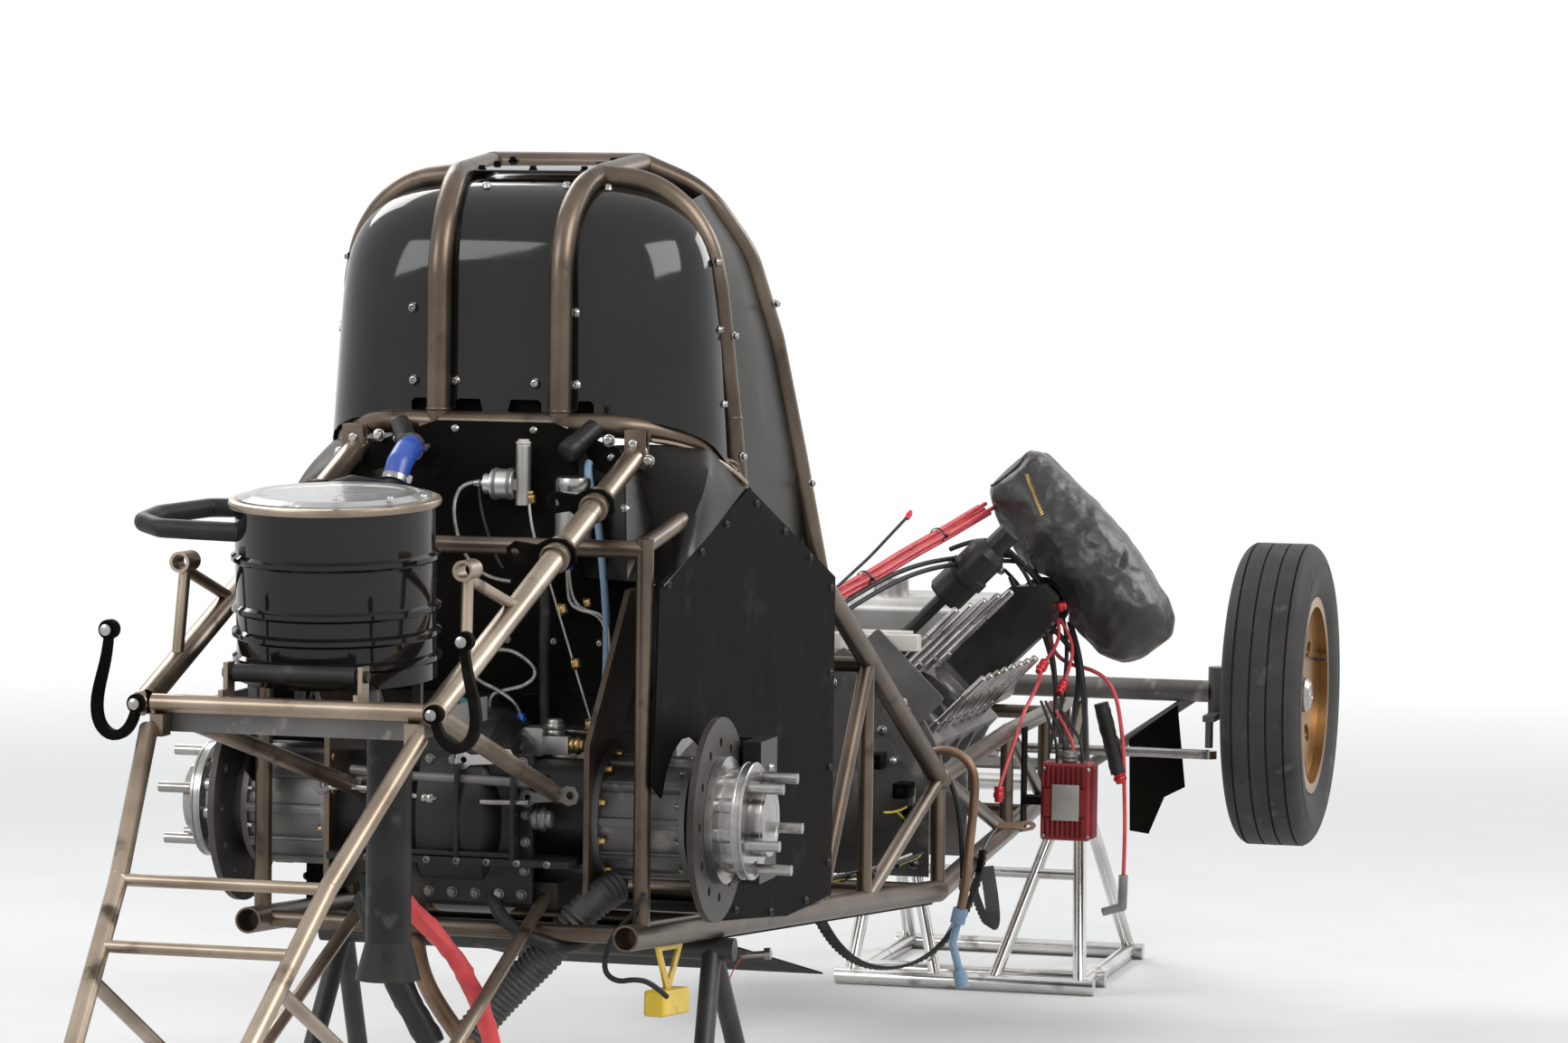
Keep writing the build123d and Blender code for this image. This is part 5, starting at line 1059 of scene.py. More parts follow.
def flare_at(z):
    """How much wider the shell stands below its flare's top."""
    return FLARE * max(0.0, FLARE_TOP - z)


def shell_section(x, inset, drop):
    """Arch-shaped section of the shell at one station, from the left foot over the top to the right."""
    top = SHELL_TOP - drop + max(0.0, x - SHELL_EDGE_X) * 0.095
    corner = top - 215
    line = []
    foot = shell_bottom(x)
    for i in range(8):
        line.append((SHELL_HALF, foot + (corner - foot) * i / 8))
    for i in range(21):
        a = math.radians(90 * i / 20)
        line.append((SHELL_HALF * math.cos(a) ** (2 / SHELL_POWER),
                     corner + (top - corner) * math.sin(a) ** (2 / SHELL_POWER)))
    half = []
    for y, z in line:
        half.append(((y / SHELL_HALF) * (SHELL_HALF + flare_at(z) - inset), z))
    return half + [(-y, z) for y, z in half[-2::-1]]


def thickened(name, bm, thickness, key):
    """A thin face given its thickness on both sides, in millimetres."""
    bmesh.ops.recalc_face_normals(bm, faces=bm.faces)
    thin = held(name + "_face", bm)
    solid = thin.modifiers.new("Solidify", "SOLIDIFY")
    solid.thickness = thickness / 1000
    solid.offset = 0
    made = baked(thin, name)
    bpy.data.objects.remove(thin)
    for polygon in made.data.polygons:
        polygon.use_smooth = True
    made.data.set_sharp_from_angle(angle=math.radians(34))
    return dress(made, key, "chassis")


def make_shell():
    bm = bmesh.new()
    rows = []
    steps = 10
    for i in range(steps + 1):
        a = math.radians(90 - 90 * i / steps)
        depth = (SHELL_EDGE_X - SHELL_REAR_X) * math.sin(a)
        rows.append((SHELL_EDGE_X - depth, 142 * (1 - math.cos(a)), 132 * (1 - math.cos(a))))
    rows += [(SHELL_EDGE_X + 4, 8, 4), (SHELL_EDGE_X + 26, 27, 8), (400.0, 27, 8)]
    rings = [[bm.verts.new(at(x, y, z)) for y, z in shell_section(x, inset, drop)] for x, inset, drop in rows]
    add_skin(bm, rings, closed=False)
    # flat rear face with the openings along its lower edge
    notches = ((-112, -140), (-8, -60), (72, 30), (140, 104))
    foot = []
    for left, right in sorted(notches, reverse=True):
        foot += [(left, 577), (left, 590), (left - 5, 595), (right + 5, 595), (right, 590), (right, 577)]
    rear = [bm.verts.new(at(SHELL_REAR_X, y, z)) for y, z in foot]
    face = bm.faces.new(rings[0] + rear[::-1])
    bmesh.ops.triangulate(bm, faces=[face])
    shell = thickened("driver_shell", bm, 3, "gloss_black")
    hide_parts("dome_shroud")
    # dark sheet behind the openings: painted shade standing in for the shaded inside of the shell
    shade_outline = [(-150, 574), (150, 574), (150, 606), (-150, 606)]
    plate("shell_shade_sheet", shade_outline, [], 2, (112, 0, 0), (0, -1, 0), (-1, 0, 0), "satin_black")
    seam = []
    for side in (-1, 1):
        for x, z in ((232, 590), (231, 700), (232, 800)):
            seam.append(((x, side * (SHELL_HALF + flare_at(z) + 1.5), z), (0, side, 0)))
    fasteners("shell_edge_bolts", seam, "machined_steel", "chassis", 9, 6, "socket")
    return shell


driver_shell = make_shell()
for name, pixels, size, height in (("shell_rear_bolts", DOME_BOLTS, 12, 7),
                                   ("shell_top_bolts", ROOF_BOLTS, 11, 6)):
    fasteners_at(name, spots(driver_shell, pixels), size=size, height=height, kind="socket")


def mix3(a, b, t):
    return tuple(p + (q - p) * t for p, q in zip(a, b))


def along_line(points, t):
    """Point at a share of the way along straight runs."""
    lengths = [math.dist(a, b) for a, b in zip(points, points[1:])]
    goal = t * sum(lengths)
    for a, b, length in zip(points, points[1:], lengths):
        if goal <= length:
            return mix3(a, b, goal / length)
        goal -= length
    return points[-1]


def patch(name, rim, foot, inner, outer, bulge, key, steps=14):
    """Panel stretched between four edges that share their corners, with an outward belly."""
    bm = bmesh.new()
    grid = []
    for i in range(steps + 1):
        u = i / steps
        row = []
        for j in range(steps + 1):
            v = j / steps
            a, b, c, d = along_line(rim, u), along_line(foot, u), along_line(inner, v), along_line(outer, v)
            spot = []
            for k in range(3):
                ruled = (1 - v) * a[k] + v * b[k] + (1 - u) * c[k] + u * d[k]
                corners = ((1 - u) * (1 - v) * rim[0][k] + u * (1 - v) * rim[-1][k]
                           + (1 - u) * v * foot[0][k] + u * v * foot[-1][k])
                belly = bulge[k] * math.sin(math.pi * u) * math.sin(math.pi * v)
                spot.append(ruled - corners + belly)
            row.append(bm.verts.new(at(*spot)))
        grid.append(row)
    add_skin(bm, grid, closed=False)
    return thickened(name, bm, 2, key)


def make_shoulders():
    rim = [(54, 128, 530), (95, 226, 534), (180, 292, 524), (286, 320, 464)]
    foot = [(54, 142, 340), (-50, 270, 342), (-134, 314, 345)]
    inner = [rim[0], (54, 134, 430), foot[0]]
    outer = [rim[-1], (90, 319, 406), foot[-1]]
    for sign, name in ((-1, "right"), (1, "left")):
        lines = [[(x, sign * y, z) for x, y, z in line] for line in (rim, foot, inner, outer)]
        patch("shoulder_shell_" + name, *lines, (-16, sign * 30, 14), "panel_dark")
        # shoulder rims in the lit chromoly copy: tube colour painted lighter as painted light
        hose("shoulder_rim_" + name, [(x, sign * (y + 2), z + 6) for x, y, z in rim[1:]], 7, "lit_chromoly")


make_shoulders()


# Bars swept along a smooth line, for ducts, wraps and the belt
def smooth_path(points, step):
    """Even points in millimetres along the smooth line near the given ones."""
    holder = line_of("path_holder", points, 0.0, 4)
    mesh = bpy.data.meshes.new_from_object(holder)
    line = [tuple((v.co - SHIFT) * 1000) for v in mesh.vertices]
    bpy.data.objects.remove(holder)
    total = sum(math.dist(a, b) for a, b in zip(line, line[1:]))
    count = max(2, int(total / step))
    return [along_line(line, i / count) for i in range(count + 1)]


def swept(name, points, step, section, key, smooth=50.0):
    """Skin along a path: section gives the (side, up) corners in millimetres at each step."""
    line = [at(*p) for p in smooth_path(points, step)]
    bm = bmesh.new()
    rings = []
    side = None
    for i, spot in enumerate(line):
        way = (line[min(i + 1, len(line) - 1)] - line[max(i - 1, 0)]).normalized()
        if side is None:
            side = way.cross(Vector((0, 0, 1)))
            if side.length < 0.1:
                side = way.cross(Vector((1, 0, 0)))
        side = (side - way * side.dot(way)).normalized()
        up = side.cross(way)
        rings.append([bm.verts.new(spot + side * (a / 1000) + up * (b / 1000)) for a, b in section(i)])
    add_skin(bm, rings)
    return closed_piece(name, bm, key, "chassis", smooth)


def ribbed(r, depth):
    return lambda i: circle(r - depth * (i % 2), 16)


def wrapped(r, depth, seed):
    """Loose crumpled wrap: its radius wanders round and along."""
    def section(i):
        ring = []
        for a, b in circle(1.0, 14):
            grow = r + depth * noise.noise(Vector((a * 1.9 + seed, b * 1.9, i * 0.55)))
            ring.append((a * grow, b * grow))
        return ring
    return section


def belt_section(i):
    lift = 4.2 if i % 2 else 1.8
    return [(-13, -lift), (13, -lift), (13, 1.6), (-13, 1.6)]


def make_engine_rigging():
    bundle = ((1950, -24, 164), (2050, -42, 183), (2150, -69, 202), (2300, -102, 236), (2450, -138, 266),
              (2600, -157, 289), (2680, -167, 301))
    for i, (dy, dz) in enumerate(((0, 0), (-9, -7), (8, 5), (-2, 11), (-13, 4))):
        spread = 0.5 + 0.16 * i
        points = [(x, y + dy * (1 + 0.0006 * (x - 1950) * spread), z + dz) for x, y, z in bundle]
        hose("red_tube_%d" % i, points, 8.5, "hose_red")
    collar("red_tube_ties", [((2120, -64, 200), (1, -0.25, 0.3), 27, 5),
                             ((2420, -134, 264), (1, -0.2, 0.2), 27, 5)], "hose_black")
    for i, (dy, dz) in enumerate(((0, 0), (12, 10))):
        points = [(x, y + dy, z + dz) for x, y, z in ((1950, -42, 132), (2100, -81, 172), (2250, -132, 206),
                                                    (2450, -174, 212), (2600, -248, 210), (2650, -252, 201))]
        hose("black_pair_%d" % i, points, 9, "hose_black")
    hose("thin_lead", [(1950, -49, 190), (2000, -66, 214), (2050, -92, 246), (2100, -116, 282),
                       (2150, -136, 313)], 6, "hose_black")
    fitting("thin_lead_tip", (2150, -136, 311), (0.55, -0.3, 0.75), 7, "anodised_red", length=18)
    bm = bmesh.new()
    add_block(bm, (1974, -200, 80), (2012, -30, 110), 6)
    add_block(bm, (1990, -180, 108), (2030, -60, 114), 2)
    piece("white_tray_block", bm, "white_tray", "chassis", 30)
    # metal band round the canister beside the right bank
    collar("canister_bands", [((2500, -216, 218), (0.35, -0.6, 0.7), 78, 8)], "machined_steel")
    leads = (
        ((2600, -239, 178), (2598, -250, 150), (2600, -276, 109), (2630, -300, 92), (2650, -320, 72),
         (2680, -359, 18), (2672, -362, -40), (2660, -356, -86), (2600, -364, -120), (2500, -371, -140)),
        ((2680, -340, 88), (2676, -358, 40), (2660, -373, -33), (2610, -388, -90), (2550, -402, -144),
         (2500, -414, -160), (2450, -422, -168)),
        ((2560, -190, 240), (2580, -230, 232), (2600, -262, 196), (2606, -290, 140), (2604, -312, 70),
         (2596, -330, 10), (2570, -338, -60), (2520, -346, -120)),
        ((2640, -262, 196), (2650, -296, 168), (2668, -322, 124), (2680, -336, 60), (2676, -336, -10),
         (2660, -330, -80), (2620, -330, -130)),
        ((2460, -150, 236), (2500, -196, 258), (2560, -236, 240), (2610, -272, 190), (2640, -300, 150)),
        ((2610, -224, 190), (2640, -262, 150), (2672, -300, 40), (2660, -318, -30), (2600, -330, -96),
         (2520, -338, -150)),
    )
    for i, points in enumerate(leads):
        hose("black_lead_%d" % i, points, (11, 12, 8, 8, 9, 7)[i], "hose_black")
    reds = (
        ((2600, -304, 14), (2520, -318, -8), (2400, -328, -29), (2340, -322, -60), (2300, -316, -106),
         (2270, -306, -150), (2250, -297, -195)),
        ((2646, -318, 108), (2630, -334, 76), (2590, -330, 40), (2560, -318, 20)),
        ((2652, -326, 96), (2648, -352, 60), (2620, -360, 20), (2580, -352, -20)),
    )
    for i, points in enumerate(reds):
        hose("red_lead_%d" % i, points, 7, "hose_red")
    boots = (((2560, -318, 20), (-0.6, 0.3, -0.7)), ((2580, -352, -20), (-0.7, 0.2, -0.7)),
             ((2250, -297, -190), (-0.1, 0, -1)), ((2450, -168, 150), (0.3, -0.6, 0.7)),
             ((2620, -318, 118), (0, -1, 0.2)), ((2600, -250, 84), (0.2, -0.9, 0)))
    for i, (point, way) in enumerate(boots):
        fitting("red_boot_%d" % i, point, way, 13, "anodised_red", length=30)
    swept("heat_sleeve", ((2700, -401, -70), (2702, -412, -110), (2700, -426, -160), (2698, -439, -206)), 8,
          wrapped(15, 3, 3.0), "hose_black")
    fitting("heat_sleeve_tip", (2698, -439, -204), (0, -0.2, -1), 16, "anodised_red", length=22)
    # eyelet on a thin cable from the frame
    plate("eyelet", [(-30, -6), (-22, -10), (8, -11), (24, -15), (38, -9), (42, 2), (36, 12), (22, 15),
                     (8, 10), (-24, 9)], [(25, 0, 6)], 3, (1900, -398, -220), (0, -1, 0.05), (-0.5, 0, 0.86),
          "hose_bronze", bevel=1)
    hose("eyelet_cable", [(1900, -372, -222), (1902, -352, -240), (1908, -330, -300), (1906, -300, -380),
                          (1900, -264, -450), (1900, -247, -472)], 4, "machined_steel")
    hose("brass_ended_hose", [(1532, -330, -60), (1531, -350, -78), (1530, -368, -112), (1530, -380, -155),
                              (1530, -386, -220), (1530, -388, -276)], 9, "hose_black")
    fitting("brass_end", (1530, -388, -272), (0, -0.02, -1), 9, "brass", length=26)
    swept("cogged_belt", ((1560, -100, -300), (1600, -119, -373), (1650, -148, -434), (1700, -194, -463),
                          (1750, -257, -459), (1800, -311, -414), (1850, -348, -330), (1866, -350, -262)), 5,
          belt_section, "hose_black", smooth=25)
    swept("second_belt", ((1980, -300, -320), (2000, -322, -400), (2030, -338, -440), (2070, -330, -400),
                          (2090, -310, -320)), 5, belt_section, "hose_black", smooth=25)
    turned("capped_tube", [(0, -56), (12, -56), (12, 2), (13.5, 3), (13.5, 14), (9, 17), (7, 30), (4, 31),
                           (0, 31)], at(1600, -261, 0), (0, 0, 1), "machined_steel", segments=32)
    collar("capped_tube_bands", [((1600, -261, z), (0, 0, 1), 25, 5) for z in (-20, -42)])
    # plate at the back of the engine bay with its unions
    outline = [(130, -272), (326, -272), (326, -130), (250, 60), (170, 122), (130, 98)]
    holes = [(280, -120, 9), (262, -70, 6), (240, -20, 6), (215, 40, 5), (170, 90, 5), (300, -250, 6),
             (300, -180, 6), (150, -250, 6), (150, 60, 5)]
    for sign, name in ((-1, "right"), (1, "left")):
        flipped = [(-sign * u, v) for u, v in outline]
        plate("bay_plate_" + name, flipped, [(-sign * u, v, r) for u, v, r in holes], 4, (1538, 0, 0),
              (0, -1, 0), (-1, 0, 0), "titanium_grey")
        rows = [((1535, sign * u, v), (-1, 0, 0)) for u, v, r in holes[2:]]
        fasteners("bay_plate_bolts_" + name, rows, "machined_steel", "chassis", 12, 7)
    fitting("bay_union_a", (1534, -280, -120), (-1, 0, 0), 14, "bare_aluminium", length=30)
    fitting("bay_union_b", (1534, -262, -70), (-1, -0.2, 0), 10, "bare_aluminium", length=24)
    # switch boxes and the wiring along the right rail
    bm = bmesh.new()
    for x, y, z in ((1400, -262, -58), (1448, -300, -112), (1500, -306, -160)):
        add_block(bm, (x - 26, y - 14, z - 13), (x + 26, y + 14, z + 13), 3)
        add_turned(bm, [(7, 0), (7, 16), (4, 18), (4, 26), (0, 26)],
                   Matrix.Translation(at(x - 26, y, z)) @ turning((-1, 0, 0)), 12)
    piece("switch_boxes", bm, "satin_black", "chassis", 30)
    for i, points in enumerate((((1400, -277, -146), (1424, -292, -150), (1450, -305, -141)),
                                ((1400, -318, -222), (1424, -326, -232), (1450, -331, -222)),
                                ((1440, -292, -150), (1470, -306, -176), (1500, -312, -160)))):
        hose("yellow_wire_%d" % i, points, 4, "wire_yellow")
    rail = ((800, -287, -208), (900, -299, -210), (1000, -308, -214), (1100, -322, -222), (1250, -330, -226),
            (1400, -340, -226))
    for i, key in enumerate(("wire_yellow", "hose_black", "white_tray", "hose_black")):
        points = [(x, y + 6 + i * 4 * (-1) ** i, z + 4 + i * 3) for x, y, z in rail]
        hose("rail_wire_%d" % i, points, 4.5, key)
    ties = [((x, y + 5, z + 8), (1, -0.08, -0.05), 16, 5) for x, y, z in rail[1:5]]
    collar("rail_ties", ties, "hose_black")
    # screws, plate, leads and union of the ignition box
    lo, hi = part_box("ignition_box")
    lo, hi = (Vector(lo) - SHIFT) * 1000, (Vector(hi) - SHIFT) * 1000
    rows = []
    for z in (lo.z + 10, hi.z - 10):
        for y in (lo.y + 8, hi.y - 8):
            rows.append(((lo.x - 0.5, y, z), (-1, 0, 0)))
    fasteners("box_screws", rows, "machined_steel", "chassis", 6, 4, "socket")
    middle_x, middle_y, middle_z = (lo + hi) / 2
    plate("box_plate", [(-26, -34), (26, -34), (26, 34), (-26, 34)], [], 1.2,
          (lo.x - 1.2, middle_y, middle_z), (0, -1, 0), (-1, 0, 0), "bare_aluminium")
    for i in range(4):
        y = middle_y - 24 + i * 16
        run = [(middle_x, y, hi.z - 2), (middle_x, y, hi.z + 24), (middle_x + 10, y + 8, hi.z + 50),
               (2600, -330 + i * 9, hi.z + 96)]
        hose("box_lead_%d" % i, run, 6, "hose_red" if i == 1 else "hose_black")
    fitting("box_connector", (middle_x, middle_y, hi.z), (0, 0, 1), 20, "titanium_grey", length=22)


make_engine_rigging()


# Foil wraps on the rear bar's arms, each by the pixels of its two ends
WRAP_LIMIT = 250.0
WRAP_PIXELS = (((112, 1064), (124, 1120)), ((288, 1072), (268, 1126)))


def make_under_rigging():
    hose("under_cable", [(-150, -295, -91), (-152, -280, -122), (-150, -255, -144), (-150, -240, -176),
                         (-150, -236, -206), (-150, -256, -220), (-150, -283, -214), (-128, -302, -222),
                         (-100, -316, -245)], 8, "hose_black")
    turned("lock_pin", [(0, 0), (5, 0), (5, 36), (9, 37), (9, 46), (4, 48), (0, 48)], at(300, -318, -240),
           (0.1, -1, 0.1), "machined_steel", segments=24)
    swept("lock_ribbon", ((300, -322, -240), (298, -314, -252), (296, -306, -262), (292, -300, -286)), 4,
          lambda i: [(-7, -0.6), (7, -0.6), (7, 0.6), (-7, 0.6)], "ribbon_red")
    duct = ((-60, -226, -96), (-80, -214, -104), (-100, -198, -118), (-100, -166, -158),
            (-100, -133, -196), (-100, -92, -236), (-102, -52, -278), (-106, -20, -320))
    swept("corrugated_duct", duct, 4.5, ribbed(26, 3.2), "duct_grey", smooth=60)
    swept("wrapped_line", ((-296, 30, -86), (-300, 6, -105), (-300, -34, -138), (-300, -62, -172),
                           (-300, -92, -220), (-300, -116, -271), (-300, -128, -330)), 9,
          wrapped(13, 5, 9.0), "ribbon_red")
    swept("dark_line_under", ((-240, 90, -100), (-262, 66, -140), (-282, 40, -190), (-292, 10, -240),
                              (-296, -30, -300)), 9, wrapped(19, 3, 5.0), "hose_black")
    # bright wraps round the lower ends of the rear bar's arms, each with both its ends on one arm
    tree = tree_of(nodes["wheelie_bar"])
    for i, pixels in enumerate(WRAP_PIXELS):
        ends = []
        for u, v in pixels:
            hit = tree.ray_cast(CAMERA_SPOT, sight_line(u, v))[0]
            if hit is not None:
                ends.append(tuple((hit - SHIFT) * 1000 + sight_line(u, v) * 14))
        if len(ends) == 2 and math.dist(*ends) < WRAP_LIMIT:
            middle = mix3(ends[0], ends[1], 0.5)
            swept("foil_wrap_%d" % i, (ends[0], middle, ends[1]), 7, wrapped(25, 9, 2.0 + i), "foil")
    hose("under_wire_a", [(100, 232, -30), (100, 180, -22), (100, 133, -26)], 5, "hose_black")


make_under_rigging()


# Cage tubes with true bends in place of the straight-run solid
CAGE_R = 17.5
PIPE_STEPS = 24
BEND_STEPS = 7
ROOF_REAR = (215, -110, 925)
ROOF_FRONT = (415, -118, 944)
HOOP_FOOT = (300, -302, 470)


def bent_line(points, radius):
    """Centre line of a tube: straight runs joined by arcs of one radius, or less where a run is short."""
    line = [Vector(points[0])]
    for a, b, c in zip(points, points[1:], points[2:]):
        a, b, c = Vector(a), Vector(b), Vector(c)
        to_a, to_c = (a - b), (c - b)
        half = to_a.angle(to_c) / 2
        reach = min(radius / math.tan(half), to_a.length * 0.49, to_c.length * 0.49)
        start, end = b + to_a.normalized() * reach, b + to_c.normalized() * reach
        for i in range(BEND_STEPS + 1):
            t = i / BEND_STEPS
            line.append(start * (1 - t) ** 2 + b * 2 * t * (1 - t) + end * t ** 2)
    line.append(Vector(points[-1]))
    return line


def add_pipe(bm, line, r):
    side = None
    rings = []
    for i, spot in enumerate(line):
        way = (line[min(i + 1, len(line) - 1)] - line[max(i - 1, 0)]).normalized()
        if side is None:
            side = way.cross(Vector((0.3, 0.2, 1)))
        side = (side - way * side.dot(way)).normalized()
        up = side.cross(way)
        place = at(*spot)
        rings.append([bm.verts.new(place + side * a + up * b) for a, b in circle(r / 1000, PIPE_STEPS)])
    add_skin(bm, rings)


def make_cage():
    bm = bmesh.new()
    welds = bmesh.new()
    rear = [(78, -93, 552), (78, -93, 800), (107, -94, 863), (160, -100, 909), ROOF_REAR, ROOF_FRONT]
    main = [(214, -104, 925), (232, -181, 917), (238, -234, 882), (244, -269, 829), (250, -282, 766),
            (282, -294, 590), HOOP_FOOT, (300, -302, 442)]
    shoulder = [HOOP_FOOT, (180, -268, 540), (95, -190, 560), (78, -93, 560), (78, 0, 560)]
    pillar = [(400, -117, 943), ROOF_FRONT, (450, -205, 905), (500, -262, 810), (575, -285, 680),
              (655, -303, 500), (682, -308, 439)]
    for sign in (1, -1):
        for points, radius in ((rear, 150), (main, 150), (shoulder, 120), (pillar, 160)):
            add_pipe(bm, bent_line([(x, sign * y, z) for x, y, z in points], radius), CAGE_R)
        # short rings of weld where the tubes meet
        for point, way in (((78, -93, 580), (0, 0, 1)), ((286, -296, 566), (0.1, 0.06, 1)),
                           ((262, -298, 492), (0.85, 0.25, 0.5))):
            x, y, z = point
            place = Matrix.Translation(at(x, sign * y, z)) @ turning((way[0], sign * way[1], way[2]))
            add_turned(welds, [(17.0, -3), (18.6, -1.6), (19.0, 0), (18.6, 1.6), (17.0, 3)], place, 32)
    add_pipe(bm, [Vector(ROOF_FRONT), Vector((415, 118, 944))], CAGE_R)
    add_pipe(bm, [Vector((120, -297, 441)), Vector((300, -302, 471))], 12.5)
    add_pipe(bm, [Vector((120, 297, 441)), Vector((300, 302, 471))], 12.5)
    tubes = closed_piece("cage_tubes", bm, "chromoly", "chassis", 60)
    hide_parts("roll_cage")
    piece("cage_welds", welds, "chromoly", "chassis", 60)
    # side of the cage between the hoop and the pillar, and the roof plate
    rim = [(238, 234, 884), (345, 224, 896), (452, 207, 902)]
    foot = [(292, 303, 400), (500, 304, 372), (690, 306, 345)]
    inner = [rim[0], (243, 266, 829), (250, 281, 766), (282, 293, 590), (290, 302, 462), foot[0]]
    outer = [rim[-1], (500, 262, 808), (575, 285, 678), (655, 303, 498), (688, 306, 420), foot[-1]]
    for sign, name in ((-1, "right"), (1, "left")):
        lines = [[(x, sign * y, z) for x, y, z in line] for line in (rim, foot, inner, outer)]
        side = patch("cage_side_" + name, *lines, (0, sign * 4, 0), "panel_dark", steps=18)
        if name == "right":
            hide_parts("cage_panels")
    slope = (ROOF_FRONT[2] - ROOF_REAR[2]) / (ROOF_FRONT[0] - ROOF_REAR[0])
    outline = [(-88, -88), (88, -94), (88, 94), (-88, 88)]
    rear_x, rear_z = ROOF_REAR[0], ROOF_REAR[2]
    plate("roof_cover", outline, [], 4, (314, 0, rear_z + (314 - rear_x) * slope + 4), (1, 0, slope),
          (-slope, 0, 1), "gloss_black", bevel=1.2)
    heads = []
    for x, y in ((236, -80), (236, 80), (312, -80), (312, 80), (390, -80), (390, 80), (236, 0)):
        heads.append(((x, y, rear_z + (x - rear_x) * slope + 6), (-slope, 0, 1)))
    fasteners("roof_cover_bolts", heads, "satin_black", "chassis", 9, 6)
    tabs = []
    for x, y, z, lean in ((264, 289, 690, -0.3), (546, 279, 734, -0.4), (286, 298, 510, -0.3),
                          (672, 307, 452, -0.4)):
        tabs += [((x, sign * (y + CAGE_R - 1), z), (lean, sign, 0)) for sign in (-1, 1)]
    fasteners("cage_side_bolts", tabs, "machined_steel", "chassis", 9, 7)


make_cage()


def make_hooks():
    """Curved hooks at both ends of the rear cross tube, with a pin through each head."""
    bm = bmesh.new()
    pins = bmesh.new()
    section = [(-6, -7), (6, -7), (7.5, -5), (7.5, 5), (6, 7), (-6, 7), (-7.5, 5), (-7.5, -5)]
    shape = [(0, 2), (4, -20), (14, -38), (32, -46), (50, -36), (58, -14), (56, 14), (48, 42), (42, 70),
             (40, 96)]
    end_x, end_y, end_z = REAR_BAR_END
    for sign in (-1, 1):
        points = [(end_x, sign * (end_y + y), end_z + z) for y, z in shape]
        line = [at(*p) for p in smooth_path(points, 6)]
        rings = []
        for i, spot in enumerate(line):
            way = (line[min(i + 1, len(line) - 1)] - line[max(i - 1, 0)]).normalized()
            side = Vector((1, 0, 0))
            up = side.cross(way).normalized()
            thin = 0.72 + 0.28 * math.cos(min(1.0, abs(i / len(line) - 0.45) * 2) * math.pi / 2)
            rings.append([bm.verts.new(spot + side * (a / 1000) + up * (b * thin / 1000))
                          for a, b in section])
        add_skin(bm, rings)
        for y, z in ((40, 96), (0, 0)):
            head = Matrix.Translation(at(end_x, sign * (end_y + y), end_z + z)) @ turning((-1, 0, 0))
            add_turned(bm, [(0, -8), (12, -8), (13, -7), (13, 7), (12, 8), (0, 8)], head, 28)
            add_turned(pins, [(0, -12), (5, -12), (5, 12), (7.5, 12.5), (7.5, 16), (4, 18), (0, 18)],
                       head, 20)
    hooks = closed_piece("curved_hooks", bm, "satin_black", "chassis", 40)
    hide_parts("rear_hooks")
    closed_piece("hook_pins", pins, "machined_steel", "chassis", 40)


make_hooks()


def make_can_trim():
    """Bright rim, inner rim and latch bolts of the catch can."""
    lo, hi = (((Vector(c) - SHIFT) * 1000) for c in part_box("catch_can"))
    tilt = Vector((-0.0698, 0, 0.9976))
    centre = at((lo.x + hi.x) / 2 - 7, (lo.y + hi.y) / 2, hi.z - 16)
    r = (hi.y - lo.y) / 2
    rim = [(r - 12, 6), (r - 4, 8), (r + 1, 6), (r + 2.5, 2), (r + 1, -3), (r - 1, -4)]
    # rims in the lit chromoly copy: tube colour painted lighter as painted light
    turned("can_rim", rim, centre, tuple(tilt), "lit_chromoly", segments=128)
    turned("can_rim_inner", [(r - 44, 10), (r - 40, 13), (r - 36, 13), (r - 33, 10)], centre, tuple(tilt),
           "lit_chromoly", segments=96)
    heads = []
    for degrees in (200, 235, 270, 305, 340):
        a = math.radians(degrees)
        spot = (centre - SHIFT) * 1000 + Vector(((r - 16) * math.cos(a), (r - 16) * math.sin(a), 9))
        heads.append((tuple(spot), tuple(tilt)))
    fasteners("can_lid_bolts", heads, "machined_steel", "chassis", 8, 5, "socket")


make_can_trim()


def seen_rays(tree):
    """One for the rays of the camera, of reflections and of what shows through glass, and else nought."""
    path = tree.nodes.new("ShaderNodeLightPath")
    total = path.outputs["Is Camera Ray"]
    for kind in ("Is Glossy Ray", "Is Transmission Ray"):
        node = tree.nodes.new("ShaderNodeMath")
        node.operation = "MAXIMUM"
        tree.links.new(total, node.inputs[0])
        tree.links.new(path.outputs[kind], node.inputs[1])
        total = node.outputs["Value"]
    return total


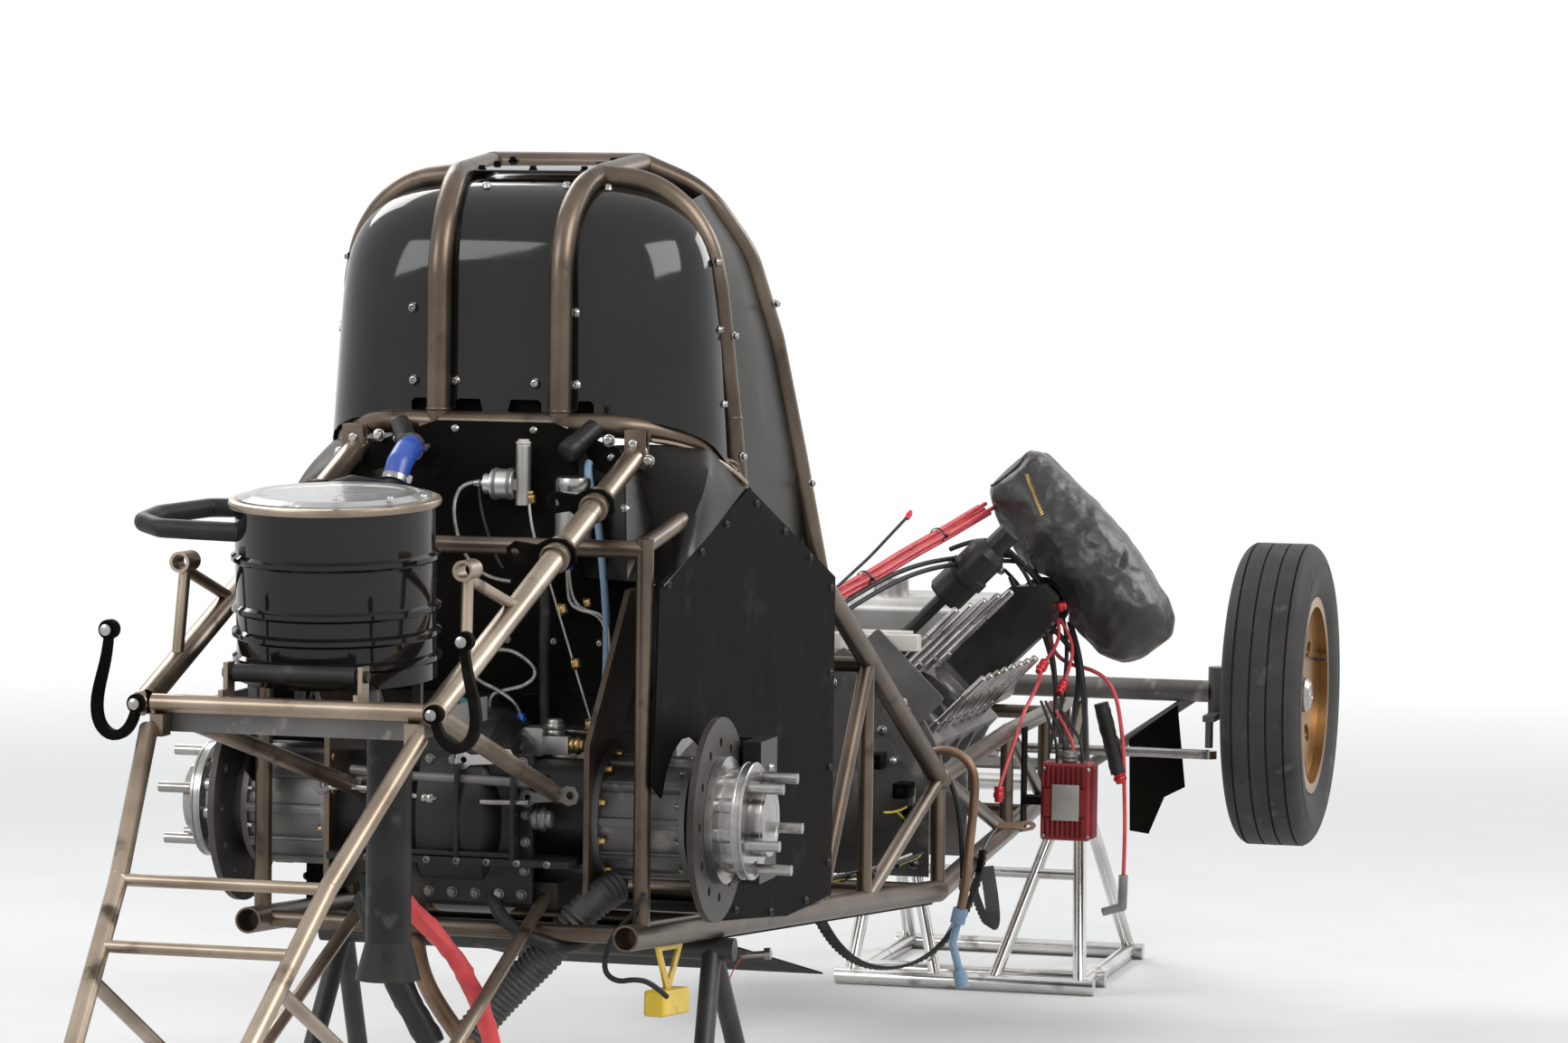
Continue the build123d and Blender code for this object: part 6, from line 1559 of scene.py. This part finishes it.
def make_stage():
    """White floor and world, and the soft lamps."""
    bm = bmesh.new()
    bmesh.ops.create_grid(bm, x_segments=8, y_segments=8, size=45)
    floor = held("floor", bm)
    material, tree, shader = new_material("floor")
    broad = textured(tree, "ShaderNodeTexNoise", 3, 6.0)
    colour = ramp(tree, broad.outputs["Fac"], [(0.3, (0.79, 0.79, 0.785)), (0.7, (0.82, 0.82, 0.815))])
    tree.links.new(colour, shader.inputs["Base Color"])
    shader.inputs["Roughness"].default_value = 0.9
    shader.inputs["Specular IOR Level"].default_value = 0.1
    # far from the object the floor runs into the white behind it
    place = tree.nodes.new("ShaderNodeTexCoord")
    length = tree.nodes.new("ShaderNodeVectorMath")
    length.operation = "LENGTH"
    tree.links.new(place.outputs["Object"], length.inputs[0])
    far = tree.nodes.new("ShaderNodeMapRange")
    far.inputs["From Min"].default_value = 3.2
    far.inputs["From Max"].default_value = 9.0
    tree.links.new(length.outputs["Value"], far.inputs["Value"])
    glow = tree.nodes.new("ShaderNodeEmission")
    times = tree.nodes.new("ShaderNodeMath")
    times.operation = "MULTIPLY"
    tree.links.new(far.outputs["Result"], times.inputs[0])
    tree.links.new(seen_rays(tree), times.inputs[1])
    mix = tree.nodes.new("ShaderNodeMixShader")
    tree.links.new(times.outputs["Value"], mix.inputs["Fac"])
    tree.links.new(shader.outputs["BSDF"], mix.inputs[1])
    tree.links.new(glow.outputs["Emission"], mix.inputs[2])
    out = next(n for n in tree.nodes if n.type == "OUTPUT_MATERIAL")
    tree.links.new(mix.outputs["Shader"], out.inputs["Surface"])
    floor.data.materials.append(material)
    world = bpy.data.worlds.new("studio")
    bpy.context.scene.world = world
    world.use_nodes = True
    tree = world.node_tree
    background = next(n for n in tree.nodes if n.type == "BACKGROUND")
    background.inputs["Color"].default_value = (0.93, 0.96, 1.0, 1)
    background.inputs["Strength"].default_value = 0.55
    bright = tree.nodes.new("ShaderNodeBackground")
    bright.inputs["Color"].default_value = (1, 1, 1, 1)
    mix = tree.nodes.new("ShaderNodeMixShader")
    tree.links.new(seen_rays(tree), mix.inputs["Fac"])
    tree.links.new(background.outputs["Background"], mix.inputs[1])
    tree.links.new(bright.outputs["Background"], mix.inputs[2])
    out = next(n for n in tree.nodes if n.type == "OUTPUT_WORLD")
    tree.links.new(mix.outputs["Shader"], out.inputs["Surface"])
    # place, target, size and power of the soft lamps
    for i, (spot, target, size, watts, warm) in enumerate((
            ((-2.6, -4.2, 4.2), (-0.4, 0, 0.7), 3.2, 150, (1.0, 0.97, 0.93)),
            ((-4.8, 2.6, 3.6), (-0.8, 0, 0.8), 2.8, 85, (0.95, 0.98, 1.0)),
            ((2.4, 3.0, 4.4), (0.3, 0, 0.6), 3.0, 110, (1.0, 0.98, 0.95)),
            ((3.2, -3.2, 3.2), (1.2, 0, 0.6), 2.4, 70, (1.0, 1.0, 1.0)))):
        data = bpy.data.lights.new("lamp_%d" % i, "AREA")
        data.shape = "RECTANGLE"
        data.size, data.size_y = size, size * 0.7
        data.energy = watts
        data.color = warm
        lamp = bpy.data.objects.new("lamp_%d" % i, data)
        bpy.context.collection.objects.link(lamp)
        lamp.location = spot
        lamp.rotation_euler = (Vector(target) - Vector(spot)).to_track_quat("-Z", "Y").to_euler()


make_stage()
bpy.context.scene.view_settings.view_transform = "Standard"
